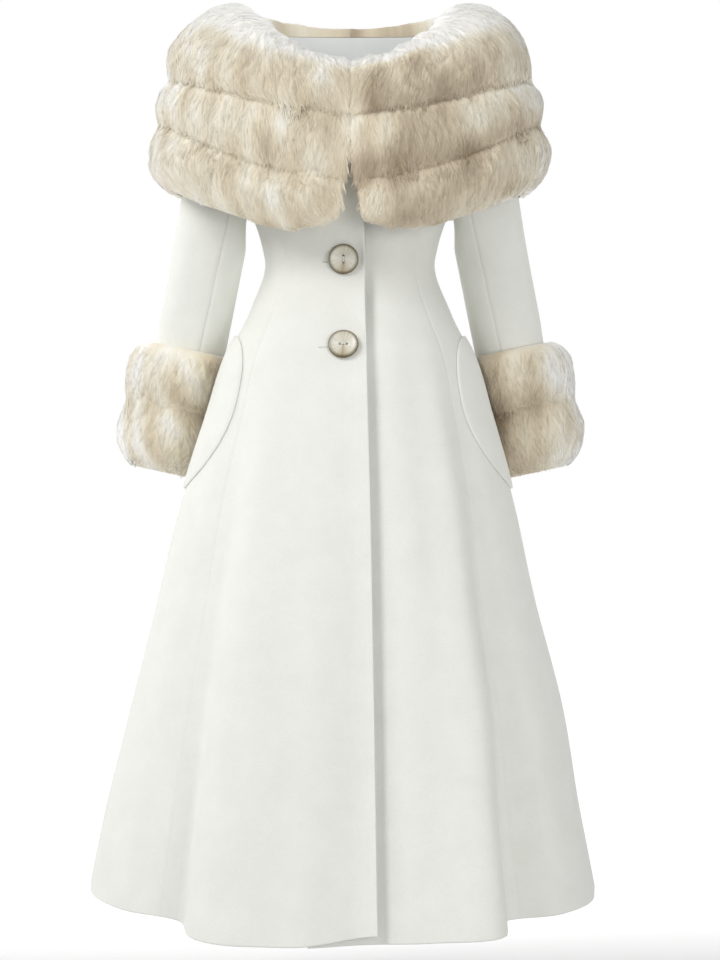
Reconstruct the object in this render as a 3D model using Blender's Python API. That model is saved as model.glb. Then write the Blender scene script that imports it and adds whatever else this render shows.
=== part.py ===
"""Fur collar coat, filled out as when worn: thin cloth walls round an empty hollow.

Metres, +Z up. +X is the wearer's left, -Y the wearer's front. The origin is the middle of the
shoulder line that carries the coat. "right" and "left" in names are the wearer's.
"""

from collections import namedtuple
import math

import bmesh
import bpy
from mathutils import Vector
import numpy as np

# Driving dimensions
CLOTH = 0.0025          # wool cloth with its lining
SEAM = 0.0003           # gap between pieces that are sewn together
HEM_LEVEL = -1.180      # hem at centre front
WAIST_LEVEL = -0.317
CHEST_LEVEL = -0.20     # above this the rings tilt towards the neckline
NECK_LEVEL = 0.0
SIDE_HEM_LIFT = {"right": 0.040, "left": 0.031}  # the flared sides hang higher than the front
HEM_LIFT_FROM = -0.85

# Neckline heights: wide and low, off the shoulders
NECK_SIDE = 0.003
NECK_FRONT = -0.085
NECK_BACK = 0.009

# Rings of the body: half width, depth in front of and behind the side, and sideways shift
BodyRing = namedtuple("BodyRing", "level half_width front_depth back_depth shift_x")
BODY_RINGS = (
    BodyRing(-1.240, 0.3510, 0.316, 0.300, -0.0100),
    BodyRing(-1.177, 0.3385, 0.302, 0.288, -0.0095),
    BodyRing(-1.060, 0.3170, 0.277, 0.267, -0.0090),
    BodyRing(-0.900, 0.2880, 0.246, 0.240, -0.0055),
    BodyRing(-0.766, 0.2545, 0.220, 0.215, -0.0055),
    BodyRing(-0.630, 0.2230, 0.190, 0.187, -0.0030),
    BodyRing(-0.520, 0.1900, 0.163, 0.164, -0.0010),
    BodyRing(-0.431, 0.1620, 0.135, 0.140, 0.0),
    BodyRing(-0.382, 0.1370, 0.113, 0.115, 0.0),
    BodyRing(-0.350, 0.1230, 0.099, 0.096, 0.0),
    BodyRing(-0.317, 0.1145, 0.092, 0.086, 0.0),
    BodyRing(-0.285, 0.1195, 0.095, 0.087, 0.0),
    BodyRing(-0.240, 0.1340, 0.110, 0.096, 0.0),
    BodyRing(-0.200, 0.1450, 0.120, 0.103, 0.0),
    BodyRing(-0.100, 0.1550, 0.117, 0.103, 0.0),
    BodyRing(-0.050, 0.1530, 0.108, 0.096, 0.0),
    BodyRing(0.000, 0.1470, 0.095, 0.085, 0.0),
    BodyRing(0.020, 0.1440, 0.089, 0.080, 0.0),
)

# Large folds of the flared skirt: degrees from centre front and reach outwards at the hem, top level,
# and degrees by which the top lies further round than the hem
Fold = namedtuple("Fold", "angle half_width reach top lean", defaults=(0,))
FOLDS = (
    Fold(-168, 13, 0.022, -0.48),
    Fold(-150, 14, -0.022, -0.48),
    Fold(-130, 14, 0.024, -0.45),
    Fold(-112, 15, -0.018, -0.52),
    Fold(-66, 18, 0.010, -0.60),
    Fold(-43, 13, -0.030, -0.48, -2),
    Fold(-26, 16, 0.030, -0.46, -3),
    Fold(6, 18, -0.028, -0.46),
    Fold(31.5, 12, 0.030, -0.38, 8),
    Fold(44, 11, -0.036, -0.44, 4),
    Fold(65, 18, 0.012, -0.55),
    Fold(110, 15, -0.020, -0.50),
    Fold(128, 14, 0.022, -0.46),
    Fold(149, 14, -0.024, -0.48),
    Fold(167, 13, 0.020, -0.50),
)
FOLD_GROWTH = 1.05      # folds open faster towards the hem

# Seams, in degrees from centre front
SIDE_SEAM = 93.0
SeamRow = namedtuple("SeamRow", "level front_princess back_princess")
SEAM_ROWS = (
    SeamRow(-1.240, 47.0, 138.0),
    SeamRow(-0.700, 48.0, 134.0),
    SeamRow(-0.317, 49.0, 131.0),
    SeamRow(-0.230, 51.0, 129.0),
    SeamRow(-0.135, 63.0, 123.0),
    SeamRow(-0.040, 78.0, 108.0),
)

# Armhole: an oval in the side of the body
ARMHOLE_LEVEL = -0.135
ARMHOLE_HALF_HEIGHT = 0.105
ARMHOLE_HALF_ANGLE = 30.0

# Front lap: the right front lies over the left one
LapRow = namedtuple("LapRow", "level over_edge under_edge")
LAP_ROWS = (
    LapRow(-1.240, 0.041, 0.030),
    LapRow(-0.700, 0.029, 0.030),
    LapRow(-0.317, 0.019, 0.030),
    LapRow(0.020, 0.018, 0.026),
)
LAP_DEPTH = CLOTH + 0.0012
LAP_BLEND = 0.040       # width over which the under front comes back to the surface
CORNER_LIFT = 0.010     # the over front's hem rises to its front corner
CORNER_WIDTH = 0.120

# Panel rows between hem and armhole, and from there to the neckline
LOW_LEVELS = (HEM_LEVEL, -1.06, -0.94, -0.82, -0.71, -0.61, -0.52, -0.455, -0.41, -0.375, -0.345,
              WAIST_LEVEL, -0.29, -0.255, -0.215, -0.175, ARMHOLE_LEVEL)
HIGH_LEVELS = (-0.095, -0.06, ARMHOLE_LEVEL + ARMHOLE_HALF_HEIGHT, NECK_LEVEL)
FRONT_COLUMNS = 10
SIDE_COLUMNS = 8
BACK_COLUMNS = 8

# Sleeve: a straight tube below a cap that grows out of the armhole
SLEEVE_RADIUS = 0.0485
SLEEVE_TOP = np.array((0.1900, 0.032, -0.283))
SLEEVE_END = np.array((0.2543, 0.106, -0.586))
SLEEVE_ROWS = 5
CAP_ROWS = 6
CAP_SPREAD = 0.058      # how far the cap rises straight out of the armhole at its top
UNDERARM_SPREAD = 0.012
CAP_DROP = 0.115        # how far above the sleeve's top ring the cap bends down
UNDERARM_DROP = 0.010
FRONT_SEAM_TOP = 123.0  # degrees round the sleeve: 0 outside, 90 front, 180 body side
FRONT_SEAM_END = 104.0
BACK_SEAM = 242.0
SLEEVE_TOP_COLUMNS = 12
SLEEVE_UNDER_COLUMNS = 7

# Collar: fur bands on a drape that runs from the neckline over the shoulders
COLLAR_NECK_WIDTH = 0.1447
COLLAR_NECK_FRONT = 0.0927
COLLAR_NECK_BACK = 0.0827
COLLAR_EDGE_WIDTH = 0.2360
COLLAR_EDGE_FRONT = 0.1420
COLLAR_EDGE_BACK = 0.1380
COLLAR_EDGE_HEIGHTS = (-0.287, -0.215, -0.250)  # front, side, back
COLLAR_SQUARENESS = 2.5
COLLAR_STAND = 0.0016   # height of the collar's start over the neckline's edge
BAND_GAP = 0.0006       # part of the drape's length left open at a seam between bands
COLLAR_PART_TOP = 0.0012
COLLAR_PART_EDGE = {"right": 0.0130, "left": 0.0155}
COLLAR_PART_FROM = 0.55  # the halves meet above this share of the drape, and part below it
FUR_END_TAPER = 0.45    # the fur thins out to the front edges, apart from the neckline
FUR_END_LENGTH = 0.045
FUR_END_FROM = 0.35
BACK_NECK_FUR = 0.40    # share of the fur's height at the back of the neckline
BACK_NECK_RUN = 0.5
COLLAR_COLUMNS = 18
BandRow = namedtuple("BandRow", "name top_front top_side bottom_front bottom_side start crest end")
COLLAR_BANDS = (
    BandRow("top", 0.0, 0.0, 0.505, 0.615, 0.037, 0.036, 0.020),
    BandRow("mid", 0.505, 0.615, 0.829, 0.806, 0.019, 0.029, 0.021),
    BandRow("low", 0.829, 0.806, 1.0, 1.0, 0.021, 0.034, 0.018),
)
BAND_ROWS = 5
BAND_FULLNESS = 0.7     # lower is squarer across a band

# Cuffs: two fur bands round the end of each sleeve, pressed flat against the skirt
CUFF_RADIUS = 0.0495
CUFF_CLEARANCE = 0.010
CUFF_THINNEST = 0.006
CUFF_PRESS = 0.95       # fur too near the skirt is pressed to this share, step by step
CUFF_PRESS_STEPS = 40
CUFF_COLUMNS = 20
CuffRow = namedtuple("CuffRow", "name top bottom start crest end")
CUFF_BANDS = (
    CuffRow("upper", -0.426, -0.508, 0.010, 0.032, 0.024),
    CuffRow("lower", -0.508, -0.593, 0.024, 0.029, 0.004),
)

# Half-moon pockets, from their round front edge to the side seam
POCKET_CLOTH = 0.0020
POCKET_GAP = 0.0008
POCKET_LEVEL = -0.500
POCKET_UP = 0.090
POCKET_DOWN = 0.117
POCKET_HALF_ANGLE = 40.0
POCKET_TOP_POWER = 2.8
POCKET_LOW_POWER = 2.1
POCKET_FULLNESS = 0.004
POCKET_END = 80.0       # the outline stops short of its pointed ends, in degrees
POCKET_ROWS = 11
POCKET_COLUMNS = 6

# Neck facing inside the back
FACING_CLOTH = 0.001
FACING_ROWS = 5

# Buttons
BUTTON_X = -0.008
BUTTON_LEVELS = {"upper": -0.314, "lower": -0.4285}
BUTTON_REST = 0.0165    # the button's flat back rests on the cloth within this radius
BUTTON_GAP = 0.0008
ButtonPoint = namedtuple("ButtonPoint", "radius height")
BUTTON_PROFILE = (
    ButtonPoint(0.0, 0.0034),
    ButtonPoint(0.0120, 0.0036),
    ButtonPoint(0.0150, 0.0050),
    ButtonPoint(0.0175, 0.0054),
    ButtonPoint(0.0192, 0.0046),
    ButtonPoint(0.0200, 0.0030),
    ButtonPoint(0.0188, 0.0010),
    ButtonPoint(0.0165, 0.0),
    ButtonPoint(0.0, 0.0),
)
BUTTON_STEPS = 20
BUTTON_HOLE_RADIUS = 0.0018
BUTTON_HOLE_SPACING = 0.0085
BUTTON_CUT_DEPTH = 0.02

# Finishes: colour, roughness, metallic
FINISHES = {
    "wool": ((0.86, 0.86, 0.83), 0.95, 0.0),
    "lining": ((0.70, 0.71, 0.70), 0.60, 0.0),
    "fur": ((0.70, 0.60, 0.48), 0.90, 0.0),
    "horn": ((0.66, 0.58, 0.44), 0.35, 0.0),
}

SIDES = {"right": -1.0, "left": 1.0}


# Curves through the tables
def column(rows, name, at):
    """One column of a table at some levels, on a smooth curve through its rows."""
    levels = np.array([row.level for row in rows])
    values = np.array([getattr(row, name) for row in rows])
    slopes = np.gradient(values, levels)
    at = np.asarray(at, float)
    i = np.clip(np.searchsorted(levels, at) - 1, 0, len(rows) - 2)
    span = levels[i + 1] - levels[i]
    t = (at - levels[i]) / span
    start = values[i] * (1 + 2 * t) * (1 - t) ** 2 + slopes[i] * span * t * (1 - t) ** 2
    end = values[i + 1] * (3 - 2 * t) * t ** 2 + slopes[i + 1] * span * (t - 1) * t ** 2
    return start + end


def smooth_step(t):
    t = np.clip(t, 0.0, 1.0)
    return t * t * (3 - 2 * t)


def blend(a, b, t):
    return a + (b - a) * t


def by_quarter(angle, front, side, back):
    """A value that runs smoothly from front over side to back."""
    cosine = np.cos(np.radians(angle))
    return side + np.where(cosine > 0, front - side, back - side) * cosine ** 2


def normals_of(surface, across, along, across_step, along_step):
    """Unit normals of a surface given as a function of two parameters."""
    over = surface(across + across_step, along) - surface(across - across_step, along)
    up = surface(across, along + along_step) - surface(across, along - along_step)
    normal = np.cross(over, up)
    return normal / np.linalg.norm(normal, axis=-1, keepdims=True)


# The body
def fold_reach(angle, level):
    reach = np.zeros(np.broadcast(angle, level).shape)
    for fold in FOLDS:
        down = np.clip((fold.top - level) / (fold.top - HEM_LEVEL), 0.0, None)
        middle = fold.angle + fold.lean * (1 - down)
        across = np.clip(np.abs(angle - middle) / fold.half_width, 0.0, 1.0)
        reach += fold.reach * np.cos(across * math.pi / 2) ** 2 * down ** FOLD_GROWTH
    return reach


def near_hem(level):
    """0 on the upper skirt, 1 at the hem."""
    return smooth_step((HEM_LIFT_FROM - level) / (HEM_LIFT_FROM - HEM_LEVEL))


def body_point(angle, level):
    """Outside of the cloth, at degrees from centre front towards the wearer's left."""
    turn = np.radians(angle)
    reach = fold_reach(angle, level)
    depth = np.where(np.cos(turn) > 0, column(BODY_RINGS, "front_depth", level),
                     column(BODY_RINGS, "back_depth", level))
    width = column(BODY_RINGS, "half_width", level)
    x = column(BODY_RINGS, "shift_x", level) + (width + reach) * np.sin(turn)
    y = -(depth + reach) * np.cos(turn)
    tilt = smooth_step((level - CHEST_LEVEL) / (NECK_LEVEL - CHEST_LEVEL))
    side_lift = blend(SIDE_HEM_LIFT["right"], SIDE_HEM_LIFT["left"], 0.5 + 0.5 * np.sin(turn))
    z = level + tilt * by_quarter(angle, NECK_FRONT, NECK_SIDE, NECK_BACK)
    z = z + near_hem(level) * side_lift * np.sin(turn) ** 2
    return np.stack(np.broadcast_arrays(x, y, z), axis=-1)


def body_normal(angle, level):
    return normals_of(body_point, angle, level, 0.4, 0.002)


def angle_at_x(x, level):
    """Degrees from centre front of a place at this x on the front."""
    sine = (x - column(BODY_RINGS, "shift_x", level)) / column(BODY_RINGS, "half_width", level)
    return np.degrees(np.arcsin(sine))


def seam_degrees(level):
    """Half a seam gap, in degrees round the body."""
    return np.degrees(SEAM / 2 / column(BODY_RINGS, "front_depth", level))


# Meshes
def grid_faces(rows, columns, first, wrap):
    """Two triangles for each cell of a grid of points."""
    faces = []
    for i in range(rows - 1):
        for j in range(columns if wrap else columns - 1):
            a = first + i * columns + j
            b = first + i * columns + (j + 1) % columns
            faces += [(a, b, b + columns), (a, b + columns, a + columns)]
    return faces


def rim_of(rows, columns, wrap):
    """Border loops of a grid: one round a panel, two on a tube."""
    bottom = list(range(columns))
    top = [(rows - 1) * columns + j for j in range(columns)]
    if wrap:
        return [bottom, top[::-1]]
    right = [i * columns + columns - 1 for i in range(1, rows - 1)]
    left = [i * columns for i in range(1, rows - 1)]
    return [bottom + right + top[::-1] + left[::-1]]


def add_material(piece, finish):
    colour, roughness, metallic = FINISHES[finish]
    material = bpy.data.materials.new(piece.name + "_" + finish)
    material.use_nodes = True
    shader = material.node_tree.nodes["Principled BSDF"]
    shader.inputs["Base Color"].default_value = (*colour, 1.0)
    shader.inputs["Roughness"].default_value = roughness
    shader.inputs["Metallic"].default_value = metallic
    piece.data.materials.append(material)


def add_piece(name, mesh, finish, parent):
    piece = bpy.data.objects.new(name, mesh)
    bpy.context.scene.collection.objects.link(piece)
    piece.parent = parent
    add_material(piece, finish)
    return piece


def add_wall(name, outer, inner, finish, parent, wrap=False):
    """A closed wall between two grids of points, smooth apart from its rims."""
    rows, columns = outer.shape[:2]
    count = rows * columns
    faces = grid_faces(rows, columns, 0, wrap)
    faces += [face[::-1] for face in grid_faces(rows, columns, count, wrap)]
    for loop in rim_of(rows, columns, wrap):
        for a, b in zip(loop, loop[1:] + loop[:1]):
            # The diagonal joins the later outer and the earlier inner point, on both sides of a seam.
            if a < b:
                faces += [(b, a, a + count), (b, a + count, b + count)]
            else:
                faces += [(b, a, b + count), (a, a + count, b + count)]
    mesh = bpy.data.meshes.new(name)
    points = np.concatenate([outer.reshape(-1, 3), inner.reshape(-1, 3)])
    mesh.from_pydata(points.tolist(), [], faces)
    work = bmesh.new()
    work.from_mesh(mesh)
    bmesh.ops.recalc_face_normals(work, faces=work.faces)
    work.to_mesh(mesh)
    work.free()
    mesh.shade_smooth()
    mesh.set_sharp_from_angle(angle=math.radians(50))
    return add_piece(name, mesh, finish, parent)


def add_body_wall(name, angle, level, finish, parent, lift=0.0, thickness=CLOTH, rise=0.0):
    """A wall on the body's surface: lift moves it out, rise moves it up."""
    normal = body_normal(angle, level)
    outer = body_point(angle, level) + normal * np.asarray(lift)[..., None]
    outer[..., 2] += rise
    return add_wall(name, outer, outer - normal * thickness, finish, parent)


# Body panels
def full_levels():
    return np.array(LOW_LEVELS + HIGH_LEVELS)


def armhole_edge(level):
    """Degrees from the side seam to the armhole's edge, 0 above the armhole."""
    up = np.clip((level - ARMHOLE_LEVEL) / ARMHOLE_HALF_HEIGHT, -1.0, 1.0)
    return ARMHOLE_HALF_ANGLE * np.sqrt(1 - up ** 2)


def panel_grid(start, stop, levels, columns):
    """Angles and levels of a panel between two edges, given as degrees at each level."""
    s = np.linspace(0.0, 1.0, columns + 1)
    angle = start[:, None] + (stop - start)[:, None] * s[None, :]
    return angle, np.repeat(levels[:, None], columns + 1, axis=1)


def add_front(name, side, parent):
    """Front panel: from the lap's edge to the princess seam, armhole and shoulder seam."""
    levels = full_levels()
    over = name == "right"
    lap = column(LAP_ROWS, "over_edge" if over else "under_edge", levels)
    start = -np.abs(angle_at_x(lap, levels))
    low = column(SEAM_ROWS, "front_princess", levels)
    high = SIDE_SEAM - armhole_edge(levels)
    stop = np.where(levels <= ARMHOLE_LEVEL, low, high) - seam_degrees(levels)
    angle, level = panel_grid(start, stop, levels, FRONT_COLUMNS)
    angle = angle * side
    x = body_point(angle, level)[..., 0]
    edge = column(LAP_ROWS, "over_edge", level)
    if over:
        near = smooth_step(1 - (edge - x) / CORNER_WIDTH)
        rise = CORNER_LIFT * near * near_hem(level)
        return add_body_wall("front_right", angle, level, "wool", parent, rise=rise)
    tuck = -LAP_DEPTH * smooth_step(1 - (x - edge - CLOTH) / LAP_BLEND)
    return add_body_wall("front_left", angle, level, "wool", parent, lift=tuck)


def back_grid():
    levels = full_levels()
    low = column(SEAM_ROWS, "back_princess", levels)
    high = SIDE_SEAM + armhole_edge(levels)
    start = np.where(levels <= ARMHOLE_LEVEL, low, high) + seam_degrees(levels)
    stop = np.full(len(levels), 180.0) - seam_degrees(levels)
    return panel_grid(start, stop, levels, BACK_COLUMNS)


def add_back(name, side, parent):
    """Back panel and the facing that lies inside its neckline."""
    angle, level = back_grid()
    add_body_wall("back_" + name, angle * side, level, "wool", parent)
    angle, level = angle[-FACING_ROWS:], level[-FACING_ROWS:]
    add_body_wall("back_neck_facing_" + name, angle * side, level, "lining", parent,
                  lift=-CLOTH - SEAM, thickness=FACING_CLOTH)


def add_side(name, piece, seam_name, side, parent):
    """Side panel: from a princess seam to the side seam, with the armhole cut from its top."""
    s = np.linspace(0.0, 1.0, SIDE_COLUMNS + 1)[None, :]
    low = np.array(LOW_LEVELS)[:, None]
    quarter = s * math.pi / 2
    top = ARMHOLE_LEVEL - ARMHOLE_HALF_HEIGHT * np.sin(quarter)
    above = WAIST_LEVEL + (low - WAIST_LEVEL) * (top - WAIST_LEVEL) / (ARMHOLE_LEVEL - WAIST_LEVEL)
    level = np.where(low <= WAIST_LEVEL, low + 0 * top, above)
    seam = column(SEAM_ROWS, seam_name, level)
    towards = 1.0 if seam_name == "front_princess" else -1.0
    rim = SIDE_SEAM - towards * ARMHOLE_HALF_ANGLE * np.cos(quarter)
    seam_at_top = column(SEAM_ROWS, seam_name, top)
    rim_share = (rim - seam_at_top) / (SIDE_SEAM - seam_at_top)
    rise = smooth_step((low - WAIST_LEVEL) / (ARMHOLE_LEVEL - WAIST_LEVEL))
    share = blend(s, rim_share, rise)
    start = seam + towards * seam_degrees(level)
    stop = SIDE_SEAM - towards * seam_degrees(level)
    angle = start + (stop - start) * share
    add_body_wall(piece + "_" + name, angle * side, level, "wool", parent)


# Sleeves and cuffs
SLEEVE_LENGTH = np.linalg.norm(SLEEVE_END - SLEEVE_TOP)
SLEEVE_DOWN = (SLEEVE_END - SLEEVE_TOP) / SLEEVE_LENGTH
SLEEVE_OUT = np.array((-SLEEVE_DOWN[2], 0.0, SLEEVE_DOWN[0]))
SLEEVE_OUT = SLEEVE_OUT / np.linalg.norm(SLEEVE_OUT)
SLEEVE_FRONT = np.array((0.0, -1.0, 0.0))


def sleeve_direction(turn):
    """Away from the left sleeve's axis: 0 degrees outside, 90 front, 180 body side."""
    turn = np.radians(turn)[..., None]
    return np.cos(turn) * SLEEVE_OUT + np.sin(turn) * SLEEVE_FRONT


def tube_point(turn, reach, radius=SLEEVE_RADIUS):
    """Point of the straight sleeve, at some metres below its top ring."""
    axis = SLEEVE_TOP + SLEEVE_DOWN * np.asarray(reach)[..., None]
    return axis + sleeve_direction(turn) * np.asarray(radius)[..., None]


def cap_point(turn, share):
    """Sleeve cap: from the armhole's edge, share 0, to the sleeve's top ring, share 1."""
    radians = np.radians(turn)
    angle = SIDE_SEAM - ARMHOLE_HALF_ANGLE * np.sin(radians)
    level = ARMHOLE_LEVEL + ARMHOLE_HALF_HEIGHT * np.cos(radians)
    outside = (0.5 + 0.5 * np.cos(radians))[..., None]
    normal = body_normal(angle, level)
    first = body_point(angle, level) + normal * SEAM
    second = first + normal * blend(UNDERARM_SPREAD, CAP_SPREAD, outside)
    fourth = tube_point(turn, 0.0 * turn)
    third = fourth - SLEEVE_DOWN * blend(UNDERARM_DROP, CAP_DROP, outside)
    t = np.asarray(share)[..., None]
    return (first * (1 - t) ** 3 + 3 * second * t * (1 - t) ** 2
            + 3 * third * t ** 2 * (1 - t) + fourth * t ** 3)


def sleeve_point(turn, along):
    """Whole sleeve: along runs from -1 at the armhole over 0 to 1 at the wrist."""
    turn, along = np.broadcast_arrays(turn, along)
    straight = tube_point(turn, np.clip(along, 0.0, None) * SLEEVE_LENGTH)
    cap = cap_point(turn, np.clip(along + 1.0, 0.0, 1.0))
    return np.where((along >= 0)[..., None], straight, cap)


def mirrored(points, side):
    return points * np.array((side, 1.0, 1.0))


def sleeve_rows():
    cap = np.linspace(-1.0, 0.0, CAP_ROWS + 1)
    straight = np.linspace(0.0, 1.0, SLEEVE_ROWS + 1)
    return np.concatenate([cap, straight[1:]])


def add_sleeve(name, side, parent):
    """Top and under sleeve, parted by the front and back seams."""
    along = sleeve_rows()[:, None]
    front = blend(FRONT_SEAM_TOP, FRONT_SEAM_END, np.clip(along + 1, 0, 2) / 2)
    gap = math.degrees(SEAM / 2 / SLEEVE_RADIUS)
    spans = {
        "sleeve_top": (BACK_SEAM - 360 + gap, front - gap, SLEEVE_TOP_COLUMNS),
        "sleeve_under": (front + gap, BACK_SEAM - gap, SLEEVE_UNDER_COLUMNS),
    }
    for piece, (start, stop, columns) in spans.items():
        s = np.linspace(0.0, 1.0, columns + 1)[None, :]
        turn = start + (stop - start) * s
        outer = sleeve_point(turn, along)
        normal = normals_of(sleeve_point, turn, np.broadcast_to(along, turn.shape), 1.0, 0.01)
        outward = np.sign((normal * sleeve_direction(turn)).sum(axis=-1, keepdims=True))
        inner = outer - normal * outward * CLOTH
        add_wall(piece + "_" + name, mirrored(outer, side), mirrored(inner, side), "wool", parent)


def band_height(row, t):
    """Height of fur across a band: low at its seams, full between them."""
    ends = blend(row.start, row.end, t)
    return ends + (row.crest - ends) * np.clip(np.sin(np.pi * t), 0.0, 1.0) ** BAND_FULLNESS


def skirt_room(points):
    """How far points stand outside the skirt, measured level, less the clearance."""
    level = points[..., 2]
    across = points[..., 0] / column(BODY_RINGS, "half_width", level)
    behind = points[..., 1] / column(BODY_RINGS, "back_depth", level)
    skirt = body_point(np.degrees(np.arctan2(across, -behind)), level)
    away = np.linalg.norm(points[..., :2], axis=-1) - np.linalg.norm(skirt[..., :2], axis=-1)
    return away - CUFF_CLEARANCE


def add_cuff(row, name, side, parent):
    """One fur band round the sleeve's end."""
    t = np.linspace(0.0, 1.0, BAND_ROWS + 1)[:, None]
    turn = np.arange(CUFF_COLUMNS)[None, :] * 360.0 / CUFF_COLUMNS
    drop = SLEEVE_TOP[2] - blend(row.top, row.bottom, t)
    reach = drop / -SLEEVE_DOWN[2] + blend(SEAM / 2, -SEAM / 2, t)
    turn, reach = np.broadcast_arrays(turn, reach)
    height = band_height(row, t) + 0.0 * turn
    for _ in range(CUFF_PRESS_STEPS):
        room = skirt_room(mirrored(tube_point(turn, reach, CUFF_RADIUS + height), side))
        height = np.where(room < 0, np.maximum(height * CUFF_PRESS, CUFF_THINNEST), height)
    outer = tube_point(turn, reach, CUFF_RADIUS + height)
    inner = tube_point(turn, reach, CUFF_RADIUS + 0.0 * turn)
    add_wall("cuff_" + row.name + "_" + name, mirrored(outer, side), mirrored(inner, side), "fur",
             parent, wrap=True)


# Collar
def collar_point(angle, down):
    """Drape under the fur, for the left half: down runs from the neckline, 0, to the edge, 1."""
    turn = np.radians(angle)
    quarter = np.clip(down, 0.0, 1.0) * math.pi / 2
    out = np.sin(quarter) ** (2 / COLLAR_SQUARENESS)
    up = np.cos(quarter) ** (2 / COLLAR_SQUARENESS)
    front = np.cos(turn) > 0
    neck_depth = np.where(front, COLLAR_NECK_FRONT, COLLAR_NECK_BACK)
    edge_depth = np.where(front, COLLAR_EDGE_FRONT, COLLAR_EDGE_BACK)
    neck_height = by_quarter(angle, NECK_FRONT, NECK_SIDE, NECK_BACK) + COLLAR_STAND
    edge_height = by_quarter(angle, *COLLAR_EDGE_HEIGHTS)
    x = blend(COLLAR_NECK_WIDTH, COLLAR_EDGE_WIDTH, out) * np.sin(turn)
    y = -blend(neck_depth, edge_depth, out) * np.cos(turn)
    z = blend(edge_height, neck_height, up)
    return np.stack(np.broadcast_arrays(x, y, z), axis=-1)


def collar_frame(angle, down):
    """Points of the drape with normals, taken a little inside its square ends."""
    inside = np.clip(down, 0.04, 0.96)
    normal = normals_of(collar_point, angle, inside, 0.5, 0.02)
    return collar_point(angle, down), -normal


def add_collar_band(row, name, side, parent):
    t = np.linspace(0.0, 1.0, BAND_ROWS + 1)[:, None]
    s = np.linspace(0.0, 1.0, COLLAR_COLUMNS + 1)[None, :]
    run = blend(row.top_front, row.bottom_front, t)
    opened = np.clip((run - COLLAR_PART_FROM) / (1 - COLLAR_PART_FROM), 0.0, 1.0) ** 2
    part = blend(COLLAR_PART_TOP, COLLAR_PART_EDGE[name], opened)
    start = np.degrees(np.arcsin(part / blend(COLLAR_NECK_WIDTH, COLLAR_EDGE_WIDTH, t)))
    stop = 180.0 - math.degrees(SEAM / 2 / COLLAR_NECK_WIDTH)
    angle = start + (stop - start) * s
    top = by_quarter(angle, row.top_front, row.top_side, row.top_side)
    bottom = by_quarter(angle, row.bottom_front, row.bottom_side, row.bottom_side)
    down = blend(top + BAND_GAP, bottom - BAND_GAP, t)
    points, normal = collar_frame(angle, down)
    near_part = (1 - smooth_step((np.abs(points[..., 0]) - part) / FUR_END_LENGTH)) * (points[..., 1] < 0)
    taper = 1 - FUR_END_TAPER * near_part * smooth_step(down / FUR_END_FROM)
    at_back = blend(by_quarter(angle, 1.0, 1.0, BACK_NECK_FUR), 1.0, smooth_step(down / BACK_NECK_RUN))
    height = band_height(row, t) * taper * at_back
    outer = points + normal * height[..., None]
    add_wall("collar_" + row.name + "_" + name, mirrored(outer, side), mirrored(points, side), "fur", parent)


# Pockets and buttons
def add_pocket(name, side, parent):
    """Half-moon on the side front, made from the body's points moved out."""
    turn = np.radians(np.linspace(-POCKET_END, POCKET_END, POCKET_ROWS + 1))[:, None]
    power = np.where(turn > 0, POCKET_TOP_POWER, POCKET_LOW_POWER)
    half = np.where(turn > 0, POCKET_UP, POCKET_DOWN)
    level = POCKET_LEVEL + half * np.sign(turn) * np.abs(np.sin(turn)) ** (2 / power)
    edge = SIDE_SEAM - POCKET_HALF_ANGLE * np.cos(turn) ** (2 / power)
    s = np.linspace(0.0, 1.0, POCKET_COLUMNS + 1)[None, :]
    angle = edge + (SIDE_SEAM - edge) * s
    fullness = POCKET_FULLNESS * np.sin(np.pi * s) * np.cos(turn)
    add_body_wall("pocket_" + name, angle * side, level + 0 * s, "wool", parent,
                  lift=POCKET_GAP + POCKET_CLOTH + fullness, thickness=POCKET_CLOTH + fullness[..., None])


def add_button(name, level, parent):
    """Turned button with a dished face and two holes, on the over front."""
    level = np.array(level)
    place = body_point(angle_at_x(BUTTON_X, level), level)
    round_it = np.radians(np.arange(0, 360, 30))
    rim_level = level + BUTTON_REST * np.sin(round_it)
    rim = body_point(angle_at_x(BUTTON_X + BUTTON_REST * np.cos(round_it), rim_level), rim_level)
    normal = np.cross(rim[0] - rim[6], rim[3] - rim[9])
    normal = normal / np.linalg.norm(normal)
    stand = ((rim - place) @ normal).max() + BUTTON_GAP
    mesh = bpy.data.meshes.new("button_" + name)
    points = [(point.radius, 0.0, point.height) for point in BUTTON_PROFILE]
    mesh.from_pydata(points, [(i, i + 1) for i in range(len(points) - 1)], [])
    button = add_piece("button_" + name, mesh, "horn", parent)
    button.location = place + normal * stand
    button.rotation_euler = Vector(normal).to_track_quat("Z", "X").to_euler()
    turned = button.modifiers.new("turned", "SCREW")
    turned.steps = turned.render_steps = BUTTON_STEPS
    turned.use_merge_vertices = True
    turned.merge_threshold = 0.0001
    for end in (-1, 1):
        cutter = add_hole_cutter(f"button_{name}_hole_{end}", button, end * BUTTON_HOLE_SPACING / 2)
        cut = button.modifiers.new("hole", "BOOLEAN")
        cut.object = cutter


def add_hole_cutter(name, button, offset):
    mesh = bpy.data.meshes.new(name)
    work = bmesh.new()
    bmesh.ops.create_cone(work, cap_ends=True, segments=10, radius1=BUTTON_HOLE_RADIUS,
                          radius2=BUTTON_HOLE_RADIUS, depth=BUTTON_CUT_DEPTH)
    work.to_mesh(mesh)
    work.free()
    cutter = bpy.data.objects.new(name, mesh)
    bpy.context.scene.collection.objects.link(cutter)
    cutter.parent = button
    cutter.location = (offset, 0.0, 0.0)
    cutter.hide_render = True
    cutter.display_type = "WIRE"
    return cutter


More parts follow.
